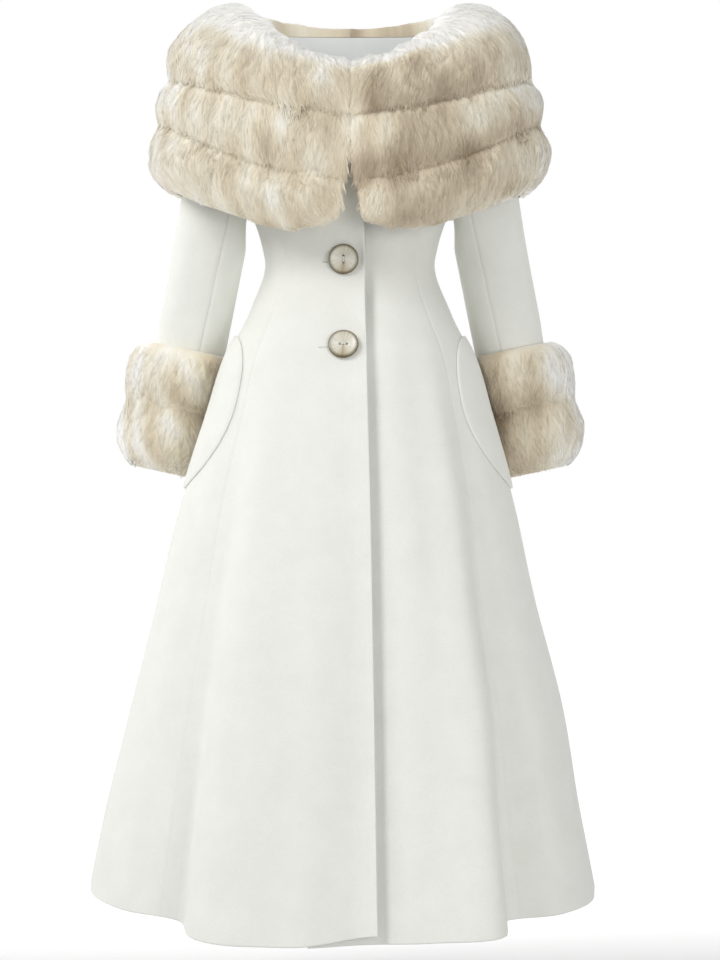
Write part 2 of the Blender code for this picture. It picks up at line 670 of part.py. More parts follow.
def main():
    for old in list(bpy.data.objects):
        bpy.data.objects.remove(old)
    coat = bpy.data.objects.new("coat", None)
    bpy.context.scene.collection.objects.link(coat)
    for name, side in SIDES.items():
        add_front(name, side, coat)
        add_side(name, "side_front", "front_princess", side, coat)
        add_side(name, "side_back", "back_princess", side, coat)
        add_back(name, side, coat)
        add_sleeve(name, side, coat)
        add_pocket(name, side, coat)
        for row in COLLAR_BANDS:
            add_collar_band(row, name, side, coat)
        for row in CUFF_BANDS:
            add_cuff(row, name, side, coat)
    for name, level in BUTTON_LEVELS.items():
        add_button(name, level, coat)


if __name__ == "__main__":
    main()
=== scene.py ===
"""Looks of the fur collar coat: fine cloth with creases, fur, buttons, light and camera.

Metres, +Z up. +X is the wearer's left, -Y the wearer's front, and the shoulder line is at the origin,
as in the solids. The driving dimensions repeat those of the solids, so each piece lies where its solid is.
"""

from collections import namedtuple
import math

import bmesh
import bpy
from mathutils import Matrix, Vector
import numpy as np


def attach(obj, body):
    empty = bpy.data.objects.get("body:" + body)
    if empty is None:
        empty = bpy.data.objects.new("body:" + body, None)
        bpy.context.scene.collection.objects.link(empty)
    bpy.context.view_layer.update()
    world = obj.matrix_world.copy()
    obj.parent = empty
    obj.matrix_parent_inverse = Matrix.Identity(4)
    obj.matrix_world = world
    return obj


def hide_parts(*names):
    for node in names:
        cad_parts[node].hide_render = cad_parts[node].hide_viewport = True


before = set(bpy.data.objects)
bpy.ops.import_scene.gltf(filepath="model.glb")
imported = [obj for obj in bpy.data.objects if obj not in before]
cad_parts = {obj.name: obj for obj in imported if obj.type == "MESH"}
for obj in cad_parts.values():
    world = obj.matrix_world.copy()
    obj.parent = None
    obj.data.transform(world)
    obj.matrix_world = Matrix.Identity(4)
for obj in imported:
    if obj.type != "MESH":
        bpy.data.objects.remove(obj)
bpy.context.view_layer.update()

# Driving dimensions of the solids
CLOTH = 0.0025
SEAM = 0.0003
HEM_LEVEL = -1.180
WAIST_LEVEL = -0.317
CHEST_LEVEL = -0.20
NECK_LEVEL = 0.0
SIDE_HEM_LIFT = {"right": 0.040, "left": 0.031}
HEM_LIFT_FROM = -0.85
NECK_SIDE = 0.003
NECK_FRONT = -0.085
NECK_BACK = 0.009

# Rings of the body: half width, depth in front of and behind the side, and sideways shift
BodyRing = namedtuple("BodyRing", "level half_width front_depth back_depth shift_x")
BODY_RINGS = (
    BodyRing(-1.240, 0.3510, 0.316, 0.300, -0.0100),
    BodyRing(-1.177, 0.3385, 0.302, 0.288, -0.0095),
    BodyRing(-1.060, 0.3170, 0.277, 0.267, -0.0090),
    BodyRing(-0.900, 0.2880, 0.246, 0.240, -0.0055),
    BodyRing(-0.766, 0.2545, 0.220, 0.215, -0.0055),
    BodyRing(-0.630, 0.2230, 0.190, 0.187, -0.0030),
    BodyRing(-0.520, 0.1900, 0.163, 0.164, -0.0010),
    BodyRing(-0.431, 0.1620, 0.135, 0.140, 0.0),
    BodyRing(-0.382, 0.1370, 0.113, 0.115, 0.0),
    BodyRing(-0.350, 0.1230, 0.099, 0.096, 0.0),
    BodyRing(-0.317, 0.1145, 0.092, 0.086, 0.0),
    BodyRing(-0.285, 0.1195, 0.095, 0.087, 0.0),
    BodyRing(-0.240, 0.1340, 0.110, 0.096, 0.0),
    BodyRing(-0.200, 0.1450, 0.120, 0.103, 0.0),
    BodyRing(-0.100, 0.1550, 0.117, 0.103, 0.0),
    BodyRing(-0.050, 0.1530, 0.108, 0.096, 0.0),
    BodyRing(0.000, 0.1470, 0.095, 0.085, 0.0),
    BodyRing(0.020, 0.1440, 0.089, 0.080, 0.0),
)

# Large folds of the flared skirt: degrees from centre front and reach outwards at the hem, top level,
# and degrees by which the top lies further round than the hem
Fold = namedtuple("Fold", "angle half_width reach top lean", defaults=(0,))
FOLDS = (
    Fold(-168, 13, 0.022, -0.48),
    Fold(-150, 14, -0.022, -0.48),
    Fold(-130, 14, 0.024, -0.45),
    Fold(-112, 15, -0.018, -0.52),
    Fold(-66, 18, 0.010, -0.60),
    Fold(-43, 13, -0.030, -0.48, -2),
    Fold(-26, 16, 0.030, -0.46, -3),
    Fold(6, 18, -0.028, -0.46),
    Fold(31.5, 12, 0.030, -0.38, 8),
    Fold(44, 11, -0.036, -0.44, 4),
    Fold(65, 18, 0.012, -0.55),
    Fold(110, 15, -0.020, -0.50),
    Fold(128, 14, 0.022, -0.46),
    Fold(149, 14, -0.024, -0.48),
    Fold(167, 13, 0.020, -0.50),
)
FOLD_GROWTH = 1.05

# Seams, in degrees from centre front
SIDE_SEAM = 93.0
SeamRow = namedtuple("SeamRow", "level front_princess back_princess")
SEAM_ROWS = (
    SeamRow(-1.240, 47.0, 138.0),
    SeamRow(-0.700, 48.0, 134.0),
    SeamRow(-0.317, 49.0, 131.0),
    SeamRow(-0.230, 51.0, 129.0),
    SeamRow(-0.135, 63.0, 123.0),
    SeamRow(-0.040, 78.0, 108.0),
)
# Side panels: the princess seam of each, and the way from it to the side seam
SIDE_PANELS = {"side_front": ("front_princess", 1.0), "side_back": ("back_princess", -1.0)}
ARMHOLE_LEVEL = -0.135
ARMHOLE_HALF_HEIGHT = 0.105
ARMHOLE_HALF_ANGLE = 30.0

# Front lap: the right front lies over the left one
LapRow = namedtuple("LapRow", "level over_edge under_edge")
LAP_ROWS = (
    LapRow(-1.240, 0.041, 0.030),
    LapRow(-0.700, 0.029, 0.030),
    LapRow(-0.317, 0.019, 0.030),
    LapRow(0.020, 0.018, 0.026),
)
LAP_DEPTH = CLOTH + 0.0012
LAP_BLEND = 0.040
CORNER_LIFT = 0.010
CORNER_WIDTH = 0.120

# Sleeve: a straight tube below a cap that grows out of the armhole
SLEEVE_RADIUS = 0.0485
SLEEVE_TOP = np.array((0.1900, 0.032, -0.283))
SLEEVE_END = np.array((0.2543, 0.106, -0.586))
CAP_SPREAD = 0.058
UNDERARM_SPREAD = 0.012
CAP_DROP = 0.115
UNDERARM_DROP = 0.010
FRONT_SEAM_TOP = 123.0
FRONT_SEAM_END = 104.0
BACK_SEAM = 242.0

# Collar: fur bands on a drape that runs from the neckline over the shoulders
COLLAR_NECK_WIDTH = 0.1447
COLLAR_NECK_FRONT = 0.0927
COLLAR_NECK_BACK = 0.0827
COLLAR_EDGE_WIDTH = 0.2360
COLLAR_EDGE_FRONT = 0.1420
COLLAR_EDGE_BACK = 0.1380
COLLAR_EDGE_HEIGHTS = (-0.287, -0.215, -0.250)
COLLAR_SQUARENESS = 2.5
FUR_STAND = 0.0004
COLLAR_PART_TOP = 0.0006
COLLAR_PART_EDGE = {"right": 0.0130, "left": 0.0155}
COLLAR_PART_FROM = 0.55
FUR_END_TAPER = 0.45
FUR_END_LENGTH = 0.045
FUR_END_FROM = 0.35
BACK_NECK_FUR = 0.40
BACK_NECK_RUN = 0.5
BandRow = namedtuple("BandRow", "name top_front top_side bottom_front bottom_side start crest end")
COLLAR_BANDS = (
    BandRow("top", 0.0, 0.0, 0.505, 0.615, 0.037, 0.036, 0.020),
    BandRow("mid", 0.505, 0.615, 0.829, 0.806, 0.019, 0.029, 0.021),
    BandRow("low", 0.829, 0.806, 1.0, 1.0, 0.021, 0.034, 0.018),
)
BAND_FULLNESS = 0.7

# Cuffs: two fur bands round the end of each sleeve, pressed flat against the skirt
CUFF_RADIUS = 0.0495
CUFF_CLEARANCE = 0.010
CUFF_THINNEST = 0.006
CUFF_PRESS = 0.95
CUFF_PRESS_STEPS = 40
CUFF_TURNS = 73         # places round and along a cuff where its height is worked out
CUFF_SHARES = 41
CUFF_END_ROUND = 0.40   # the lower band is rounded off towards the hand
CUFF_END_LEAST = 0.30
CuffRow = namedtuple("CuffRow", "name top bottom start crest end")
CUFF_BANDS = (
    CuffRow("upper", -0.426, -0.508, 0.010, 0.032, 0.024),
    CuffRow("lower", -0.508, -0.593, 0.024, 0.029, 0.004),
)

# Half-moon pockets
POCKET_CLOTH = 0.0020
POCKET_GAP = 0.0008
POCKET_LEVEL = -0.500
POCKET_UP = 0.090
POCKET_DOWN = 0.117
POCKET_HALF_ANGLE = 40.0
POCKET_TOP_POWER = 2.8
POCKET_LOW_POWER = 2.1
POCKET_FULLNESS = 0.004
POCKET_BEAD = 0.0008    # rolled front edge: height, place and half width
POCKET_BEAD_AT = 0.0034
POCKET_BEAD_WIDTH = 0.0022
POCKET_PRESS = 0.0008   # the edge is pressed onto the body
POCKET_PRESS_RUN = 0.006
POCKET_END = 80.0

# Neck facing inside the back
FACING_CLOTH = 0.001
FACING_LEVEL = -0.095

# Buttons
BUTTON_X = -0.008
BUTTON_LEVELS = {"upper": -0.314, "lower": -0.4285}
BUTTON_TURNS = {"upper": 0.0, "lower": 90.0}   # of the holes' line, from upright
BUTTON_REST = 0.0165    # radius on which the back rests, and places looked at round it
BUTTON_RESTS = 12
BUTTON_GAP = 0.0008
BUTTON_HOLE_RADIUS = 0.0018
BUTTON_HOLE_SPACING = 0.0085
BUTTON_HOLE_STEPS = 20
BUTTON_HOLE_DEPTH = 0.02
BUTTON_STEPS = 64
BUTTON_SHARP = 40.0
THREAD_RADIUS = 0.0007
THREAD_RISE = 0.0013    # the threads rise between the holes and dip into them
THREAD_DIP = 2.0
THREAD_APART = 0.0011
THREAD_STEPS = 15
THREAD_SIDES = 8
BUTTONHOLE_ENDS = {"upper": (-0.036, -0.004), "lower": (-0.041, -0.004)}   # across the over front
BUTTONHOLE_DROP = 0.003
BUTTONHOLE_HALF = 0.0014
BUTTONHOLE_STEPS = 24
BUTTONHOLE_TIP = 0.15   # least share of the width, at the ends
BUTTONHOLE_CLOTH = 0.0008
BUTTONHOLE_ACROSS = (-1.0, -0.5, 0.0, 0.5, 1.0)   # sewn edges that rise on either side of the slit
BUTTONHOLE_RISE = (0.0, 0.0006, 0.0001, 0.0006, 0.0)

SIDES = {"right": -1.0, "left": 1.0}

# Fineness of the cloth: grid steps across each piece and its rough width, then steps along it
Fineness = namedtuple("Fineness", "steps width")
ACROSS = {
    "front": Fineness(34, 0.20),
    "side": Fineness(24, 0.12),
    "back": Fineness(28, 0.16),
    "back_neck_facing": Fineness(28, 0.12),
    "sleeve_top": Fineness(34, 0.20),
    "sleeve_under": Fineness(20, 0.11),
    "pocket": Fineness(26, 0.10),
    "pocket_edge": Fineness(44, 0.24),
}
LEVEL_STEP = 0.009
SLEEVE_ROWS = 30
EDGE_STEPS = (0.0, 0.0006, 0.0014, 0.0026, 0.0045, 0.008)  # grid lines close to a piece's edges
LEAST_STEPS = 18
BODY_STEPS = (0.4, 0.002)     # small steps round and along body, sleeve and drape that give their normals
SLEEVE_STEPS = (1.0, 0.01)
DRAPE_STEPS = (0.5, 0.02)
DRAPE_ENDS = (0.04, 0.96)     # between these the drape's normals are measured
CLOTH_SHARP = 50.0      # edges that turn by more degrees are shaded as sharp ones

# Sewing: seams sink into the cloth, free edges are rounded, the hem is turned up inside
SEWN_GAP = 0.00006
SEAM_SINK = 0.0006
SEAM_SPREAD = 0.0022
HEM_TURN = 0.040
HEM_BUILD = 0.0012
HEM_EASE = 0.004
LAP_CURL = 0.0060       # the over front's edge stands off the under front
LAP_CURL_WIDTHS = (0.006, 0.036)   # beside a button, which holds the cloth flat, and away from it
LAP_CURL_EASE = 0.060
LAP_FADE = 0.060        # below the chest, where the lap's edge comes loose
LAP_HOLLOW = 0.0075     # the under front sinks beside the over front's edge
LAP_HOLLOW_WIDTH = 0.034
LAP_HOLLOW_HELD = 0.7   # share of that beside a button

# Soft creases: ends as degrees and level, half width and depth; above 0 is a ridge
Crease = namedtuple("Crease", "start_angle start_level end_angle end_level half_width depth")
BODY_CREASES = (
    Crease(-62, -0.225, -40, -0.318, 0.013, -0.0016),
    Crease(-74, -0.262, -52, -0.335, 0.010, 0.0012),
    Crease(-88, -0.300, -60, -0.352, 0.011, -0.0014),
    Crease(-30, -0.345, -12, -0.322, 0.012, -0.0008),
    Crease(-98, -0.330, -70, -0.390, 0.014, 0.0014),
    Crease(58, -0.222, 38, -0.322, 0.013, -0.0017),
    Crease(72, -0.258, 50, -0.340, 0.011, 0.0012),
    Crease(90, -0.296, 62, -0.356, 0.011, -0.0013),
    Crease(28, -0.350, 16, -0.420, 0.014, -0.0010),
    Crease(99, -0.334, 74, -0.396, 0.013, 0.0013),
    Crease(-120, -0.292, -150, -0.338, 0.013, -0.0016),
    Crease(-112, -0.328, -140, -0.366, 0.012, 0.0013),
    Crease(-155, -0.318, -172, -0.350, 0.014, -0.0010),
    Crease(122, -0.290, 154, -0.330, 0.012, -0.0015),
    Crease(110, -0.332, 142, -0.372, 0.013, 0.0014),
    Crease(160, -0.322, 176, -0.346, 0.012, -0.0009),
    Crease(-20, -0.62, -27, -0.95, 0.022, 0.0020),
    Crease(-50, -0.66, -55, -1.02, 0.030, -0.0024),
    Crease(8, -0.74, 9, -1.10, 0.026, -0.0018),
    Crease(22, -0.60, 25, -0.98, 0.020, 0.0016),
    Crease(54, -0.60, 58, -0.98, 0.026, -0.0022),
    Crease(80, -0.70, 82, -1.08, 0.030, 0.0026),
    Crease(-80, -0.72, -82, -1.06, 0.028, -0.0022),
    Crease(-100, -0.60, -104, -0.94, 0.026, 0.0022),
    Crease(101, -0.62, 104, -0.98, 0.024, -0.0020),
    Crease(-140, -0.58, -143, -0.96, 0.024, 0.0020),
    Crease(138, -0.60, 140, -1.00, 0.024, -0.0018),
    Crease(-176, -0.56, -174, -0.94, 0.026, -0.0020),
    Crease(176, -0.60, 178, -0.90, 0.022, 0.0014),
)
SLEEVE_CREASES = (
    Crease(150, -0.10, 60, 0.06, 0.014, -0.0018),
    Crease(168, 0.02, 84, 0.20, 0.012, -0.0016),
    Crease(176, 0.10, 100, 0.30, 0.012, 0.0015),
    Crease(140, 0.30, 40, 0.36, 0.014, -0.0018),
    Crease(120, 0.40, 20, 0.37, 0.011, 0.0013),
    Crease(200, 0.30, 300, 0.40, 0.013, -0.0016),
    Crease(190, 0.16, 286, 0.24, 0.012, 0.0014),
    Crease(30, 0.46, -40, 0.44, 0.016, -0.0014),
    Crease(10, -0.30, -30, 0.10, 0.020, 0.0018),
    Crease(70, -0.34, 44, 0.02, 0.018, -0.0018),
)
CREASE_STEPS = 8
SLEEVE_CREASE_FADE = 0.4   # below the armhole, where creases are full

# Fur of each band: grid steps across and down it, strands on it and their length, share of the band where
# it starts, how far tufts pass the band's end and rise onto the next one, painted shade at its seam and at
# its tips for the valleys between bands, how far the neckline's pale rim shows, lean to the front, painted
# light that makes the outer side paler (on a cuff, paler outside and darker towards the body), and whether
# it parts in front
FurRow = namedtuple("FurRow", "columns rows strands length first overhang overlap seam_shade tip_shade rim"
                              " front_lean side_tone parted")
COLLAR_FUR = {
    "top": FurRow(280, 80, 10500, 0.030, 0.0, 0.09, 0.32, 0.0, 0.09, 1.0, 0.45, 0.05, True),
    "mid": FurRow(280, 50, 7200, 0.028, -0.12, 0.13, 0.38, 0.0, 0.14, 0.0, 0.15, 0.05, True),
    "low": FurRow(280, 50, 7200, 0.028, -0.12, 0.03, 0.0, 0.19, 0.0, 0.0, 0.08, 0.05, True),
}
CUFF_FUR = {
    "upper": FurRow(180, 44, 4200, 0.026, 0.0, 0.10, 0.06, 0.0, 0.12, 0.0, 0.0, -0.08, False),
    "lower": FurRow(180, 44, 4200, 0.026, -0.12, 0.0, 0.0, 0.24, 0.0, 0.0, 0.0, -0.08, False),
}

# Tufts: their width and length, their height as a share of the fur's, and their change of tone with their
# swell, painted shade that makes the dips between tufts darker and their crests paler
TuftRow = namedtuple("TuftRow", "width length height tone")
TUFTS = (
    TuftRow(0.020, 0.046, 0.040, 0.020),
    TuftRow(0.009, 0.034, 0.030, 0.028),
)
TUFT_MIDDLE = 0.55      # usual swell of the tufts, which leaves the fur's height unchanged
TUFTS_LEAST = 3         # tufts across and down a band
TUFT_SPOTS = 9          # places across a band where its size is measured for them
TUFT_ENDS_FROM = 0.7    # from here down a band the fuller tufts grow longer
TUFT_REACH = 0.3        # usual share of the overhang, then what a large tuft's swell adds, and the most
TUFT_REACH_LARGE = 0.5
TUFT_REACH_MOST = 1.5
SHELL_SINK = 0.12       # the tufts' ends sink into the next band, and its start is filled up
SHELL_SINK_RUN = 0.06
SHELL_FILL = 0.07
SHELL_FILL_RUN = 0.16
SHELL_LENGTH = 0.6      # place of the tufts between root and tip, for their colour
OVERLAP_RUN = 0.10      # past a band's end, where its tufts have risen onto the next band
OVERLAP_MOST = 1.3
BASE_COLUMNS = 24       # plain underside of a band
BASE_ROWS = 6
BASE_LENGTH = 0.2
ROW_CROWDING = 1.2      # rows are closer towards the top
FUR_SHARP = 75.0

# Tone of each half's fur, shares of the seams' painted shade and of the outer side's painted light, tone at
# the front edge, and share of the seams' painted shade on the cuff. The left half lies away from the key
# lamp:
# its lower tone and more seam shade are painted shade on that side
HalfRow = namedtuple("HalfRow", "tone seams sides front_edge cuff_seams")
FUR_HALVES = {"right": HalfRow(0.762, 0.3, 1.4, 0.0, 0.8), "left": HalfRow(0.680, 1.5, 3.5, 0.14, 1.3)}
FRONT_EDGE_RUN = 0.055

# Strands: low roofs from root to tip
STRAND_LENGTHS = (0.6, 1.2)   # shortest and longest, then narrowest and widest, as shares of the usual ones
STRAND_BREADTHS = (0.7, 1.2)
STRAND_WIDTH = 0.0011
STRAND_SHARES = (0.0, 0.33, 0.68, 1.0)
STRAND_WIDTHS = (0.0, 1.0, 0.8, 0.0)
STRAND_FACES = ((0, 2, 1), (0, 3, 2), (1, 2, 5, 4), (2, 3, 6, 5), (4, 5, 7), (5, 6, 7))
STRAND_LIFTS = (-0.020, 0.011, 0.012, 0.0)   # ridge above the tufts, as shares of the fur's height
STRAND_DEPTH = 0.022    # how far the edges lie below the ridge
STRAND_ROUND = 0.35     # how far the shading turns from the ridge to the edges
STRAND_LEAN = 0.19
SWAY_SIZES = (0.060, 0.080)   # waves in which the fur sways to either side
SWAY = 0.15
STRAND_SHADE = 0.050
STRAND_TURN = 0.12      # how far a strand's shading turns away from the tufts'
STRAND_EARLY = 1.3      # strands stand from further before a band's start than its tufts, to near its end
STRAND_LAST = 0.97
STRAND_OVERHANG = 0.18  # how far strands pass a band's end onto the next band
STRAND_FREE = 0.060     # how far they pass a free edge
STRAND_UNEVEN = 0.10    # how much earlier some end
STRAND_LEAST = 0.20     # least share of its length that a strand reaches down
CLUMP_PULL = 0.0040     # how far tips gather towards the middle of a tuft
CLUMP_LOOK = 0.0025     # how far to either side the tuft's middle is looked for
CLUMP_SLOPE = 0.35      # change of swell over that distance that gives the full pull
STRAND_FLY = 0.06       # how far tips at most stand off the tufts, with few that do
STRAND_FLY_POWER = 3
STRAND_CHOICE = 4       # places tried for each strand
SCATTER_MARGIN = 0.02   # beside the parting, where a band's size isn't measured
SIZE_STEP = 0.01        # step, margin and height at which sizes on a band are measured
SIZE_MARGIN = 0.1
SIZE_HEIGHT = 0.7
TONE_WIDTH = 0.003
CHART_ENDS = (0.02, 0.98)

# Patches, painted shade in the valleys and other shades, and edges of the fur
NOISE_WAVES = 9
LUMP_SIZES = (0.036, 0.070)   # soft lumps of the fur: width, length and height
LUMP_HEIGHT = 0.045
PATCH_SIZES = (0.042, 0.080)  # paler and darker patches
PATCH_SHADE = 0.065
# Painted shade in the valleys between bands: how far it runs down from a band's start, and where it begins
# and how far it runs towards the band's tips
PAINTED_SEAM_SHADE_RUN = 0.18
PAINTED_TIP_SHADE_FROM = 0.52
PAINTED_TIP_SHADE_RUN = 0.40
# The rim is the fur's own pale tips; its greater width at the side is partly painted light on the outer edge
RIM_WIDTH = (0.24, 0.36)   # pale fur along the neckline, in front and at the side, as shares of the top band
RIM_FADE = 0.22
RIM_TONE = 0.98
RIM_END = (0.62, 0.80)  # the rim fades towards the back between these shares of the neckline
BACK_SHADE = 0.03
CORNER_ROUND = 0.12     # the lower front corners are cut round, as shares of the band across and down
CORNER_CUT = 0.30
FRONT_LEAN_RUN = 0.40
DRAPE_LENGTH = 0.30     # rough length of the collar's drape, for strands that pass its edge
NECK_ROLL = 0.14        # the fur leans in over the neckline by some degrees, and is lower there
NECK_LEAN = 38.0
NECK_LEAST = 0.72
EDGE_ROUND = 0.06       # the fur is rounded off along the lower edge and the front edges
EDGE_ROUND_LEAST = 0.45
PART_ROUND = 0.007
PART_ROUND_LEAST = 0.90
PART_OVERHANG = 0.0080   # how far strands pass the parting at most, and the least share of that
PART_OVERHANG_LEAST = 0.3

# Cuts of cloth: width, length and flat area of each piece before sewing
Cut = namedtuple("Cut", "width length area")
CUTS = {
    "front": Cut(0.40, 1.16, 0.26),
    "side_front": Cut(0.34, 1.00, 0.19),
    "side_back": Cut(0.30, 1.00, 0.17),
    "back": Cut(0.34, 1.22, 0.23),
    "back_neck_facing": Cut(0.16, 0.11, 0.014),
    "sleeve_top": Cut(0.22, 0.56, 0.10),
    "sleeve_under": Cut(0.13, 0.46, 0.05),
    "pocket": Cut(0.14, 0.21, 0.024),
}

# Camera and light
CAMERA_PLACE = (0.0135, -3.3, -0.6035)
CAMERA_LENS = 91.66
FLOOR_LEVEL = -1.33
FLOOR_RADIUS = 12.0
FLOOR_STEPS = 96
FLOOR_TONE = 0.5
FLOOR_GLOW = (0.10, 0.72)    # glow of the floor in front of the coat and behind it
FLOOR_GLOW_RUN = (-0.2, 0.9)
WORLD_AROUND = 0.56     # light from all sides
WORLD_BEHIND = 1.0      # bright end of the studio behind the coat
WORLD_BEHIND_RUN = (0.64, 0.93)
LampRow = namedtuple("LampRow", "name place energy")
LAMPS = (
    LampRow("key", (-2.64, -2.21, 1.81), 21.5),
    LampRow("fill", (1.78, -3.81, -0.42), 13.6),
    LampRow("rim", (-3.68, 1.72, 0.49), 15.5),
)
LAMP_SIZE = 1.6
LAMP_SPREAD = 100.0
LAMP_TARGET = (0.0, 0.0, -0.35)
SEED = 20


# Curves through the tables
def column(rows, name, at):
    """One column of a table at some levels, on a smooth curve through its rows."""
    levels = np.array([row.level for row in rows])
    values = np.array([getattr(row, name) for row in rows])
    slopes = np.gradient(values, levels)
    at = np.asarray(at, float)
    i = np.clip(np.searchsorted(levels, at) - 1, 0, len(rows) - 2)
    span = levels[i + 1] - levels[i]
    t = (at - levels[i]) / span
    start = values[i] * (1 + 2 * t) * (1 - t) ** 2 + slopes[i] * span * t * (1 - t) ** 2
    end = values[i + 1] * (3 - 2 * t) * t ** 2 + slopes[i + 1] * span * (t - 1) * t ** 2
    return start + end


def smooth_step(t):
    t = np.clip(t, 0.0, 1.0)
    return t * t * (3 - 2 * t)


def blend(a, b, t):
    return a + (b - a) * t


def unit(vectors):
    return vectors / np.maximum(np.linalg.norm(vectors, axis=-1, keepdims=True), 1e-9)


def by_quarter(angle, front, side, back):
    """A value that runs smoothly from front over side to back."""
    cosine = np.cos(np.radians(angle))
    return side + np.where(cosine > 0, front - side, back - side) * cosine ** 2


def normals_of(surface, across, along, across_step, along_step):
    """Unit normals of a surface given as a function of two parameters."""
    over = surface(across + across_step, along) - surface(across - across_step, along)
    up = surface(across, along + along_step) - surface(across, along - along_step)
    return unit(np.cross(over, up))


def mirrored(points, side):
    return points * np.array((side, 1.0, 1.0))


# The body
def fold_reach(angle, level):
    reach = np.zeros(np.broadcast(angle, level).shape)
    for fold in FOLDS:
        down = np.clip((fold.top - level) / (fold.top - HEM_LEVEL), 0.0, None)
        middle = fold.angle + fold.lean * (1 - down)
        across = np.clip(np.abs(angle - middle) / fold.half_width, 0.0, 1.0)
        reach += fold.reach * np.cos(across * math.pi / 2) ** 2 * down ** FOLD_GROWTH
    return reach


def near_hem(level):
    """0 on the upper skirt, 1 at the hem."""
    return smooth_step((HEM_LIFT_FROM - level) / (HEM_LIFT_FROM - HEM_LEVEL))


def body_point(angle, level):
    """Outside of the cloth, at degrees from centre front towards the wearer's left."""
    turn = np.radians(angle)
    reach = fold_reach(angle, level)
    depth = np.where(np.cos(turn) > 0, column(BODY_RINGS, "front_depth", level),
                     column(BODY_RINGS, "back_depth", level))
    width = column(BODY_RINGS, "half_width", level)
    x = column(BODY_RINGS, "shift_x", level) + (width + reach) * np.sin(turn)
    y = -(depth + reach) * np.cos(turn)
    tilt = smooth_step((level - CHEST_LEVEL) / (NECK_LEVEL - CHEST_LEVEL))
    side_lift = blend(SIDE_HEM_LIFT["right"], SIDE_HEM_LIFT["left"], 0.5 + 0.5 * np.sin(turn))
    z = level + tilt * by_quarter(angle, NECK_FRONT, NECK_SIDE, NECK_BACK)
    z = z + near_hem(level) * side_lift * np.sin(turn) ** 2
    return np.stack(np.broadcast_arrays(x, y, z), axis=-1)


def body_normal(angle, level):
    return normals_of(body_point, angle, level, *BODY_STEPS)


def angle_at_x(x, level):
    """Degrees from centre front of a place at this x on the front."""
    sine = (x - column(BODY_RINGS, "shift_x", level)) / column(BODY_RINGS, "half_width", level)
    return np.degrees(np.arcsin(sine))


def seam_degrees(level):
    """Half the gap between sewn panels, in degrees round the body."""
    return np.degrees(SEWN_GAP / 2 / column(BODY_RINGS, "front_depth", level))


# Meshes
def grid_quads(rows, columns, first=0, wrap=False):
    """Corner numbers of each cell of a grid of points."""
    i = np.arange(rows - 1)[:, None]
    j = np.arange(columns if wrap else columns - 1)[None, :]
    a = i * columns + j
    b = i * columns + (j + 1) % columns
    return first + np.stack([a, b, b + columns, a + columns], axis=-1).reshape(-1, 4)


def wall_quads(rows, columns):
    """Faces of a closed wall between an outer grid and the inner grid that follows it."""
    count = rows * columns
    bottom = np.arange(columns)
    right = np.arange(1, rows - 1) * columns + columns - 1
    top = (rows - 1) * columns + bottom[::-1]
    left = np.arange(1, rows - 1)[::-1] * columns
    a = np.concatenate([bottom, right, top, left])
    b = np.roll(a, -1)
    rim = np.stack([b, a, a + count, b + count], axis=-1)
    return [grid_quads(rows, columns), grid_quads(rows, columns, count)[:, ::-1], rim]


def new_mesh(name, points, face_groups):
    """A smooth mesh from groups of faces, each an array with one row of corner numbers a face."""
    mesh = bpy.data.meshes.new(name)
    mesh.vertices.add(len(points))
    mesh.vertices.foreach_set("co", np.ascontiguousarray(points, np.float32).ravel())
    corners = np.concatenate([group.ravel() for group in face_groups]).astype(np.int32)
    sizes = np.concatenate([np.full(len(group), group.shape[1]) for group in face_groups])
    mesh.loops.add(len(corners))
    mesh.loops.foreach_set("vertex_index", corners)
    mesh.polygons.add(len(sizes))
    mesh.polygons.foreach_set("loop_start", np.concatenate([[0], np.cumsum(sizes)[:-1]]).astype(np.int32))
    mesh.update(calc_edges=True)
    mesh.validate()
    mesh.shade_smooth()
    return mesh


def wall_mesh(name, outer, inner):
    """A closed wall between two grids of points, facing outwards."""
    points = np.concatenate([outer.reshape(-1, 3), inner.reshape(-1, 3)])
    mesh = new_mesh(name, points, wall_quads(*outer.shape[:2]))
    work = bmesh.new()
    work.from_mesh(mesh)
    bmesh.ops.recalc_face_normals(work, faces=work.faces)
    work.to_mesh(mesh)
    work.free()
    return mesh


def add_object(name, data):
    thing = bpy.data.objects.new(name, data)
    bpy.context.scene.collection.objects.link(thing)
    return thing


def add_piece(name, mesh, slot, *nodes):
    """A piece of the coat, which stands for the solids named."""
    piece = add_object(name, mesh)
    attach(piece, "root")
    if nodes:
        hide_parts(*nodes)
    return piece


def add_cloth(name, outer, inner, cut, materials, slot="wool"):
    """A wall of cloth with the last material on its inner side."""
    mesh = wall_mesh(name, outer, inner)
    for material in materials:
        mesh.materials.append(material)
    cells = (outer.shape[0] - 1) * (outer.shape[1] - 1)
    inside = np.zeros(len(mesh.polygons), np.int32)
    inside[cells:2 * cells] = len(materials) - 1
    mesh.polygons.foreach_set("material_index", inside)
    mesh.set_sharp_from_angle(angle=math.radians(CLOTH_SHARP))
    piece = add_piece(name + "_cloth", mesh, slot, name)


# Cloth pieces
def spread(count, length):
    """Shares from 0 to 1, even between close lines along both ends."""
    close = np.array(EDGE_STEPS) / length
    even = np.linspace(close[-1], 1 - close[-1], count - 2 * len(close) + 3)
    return np.concatenate([close[:-1], even, 1 - close[-2::-1]])


def distance_along(points, axis):
    """Distance of each grid point from the grid's first and last line, measured along the grid."""
    steps = np.linalg.norm(np.diff(points, axis=axis), axis=-1)
    run = np.cumsum(steps, axis=axis)
    start = np.zeros_like(np.take(run, [0], axis=axis))
    from_first = np.concatenate([start, run], axis=axis)
    return from_first, np.take(from_first, [-1], axis=axis) - from_first


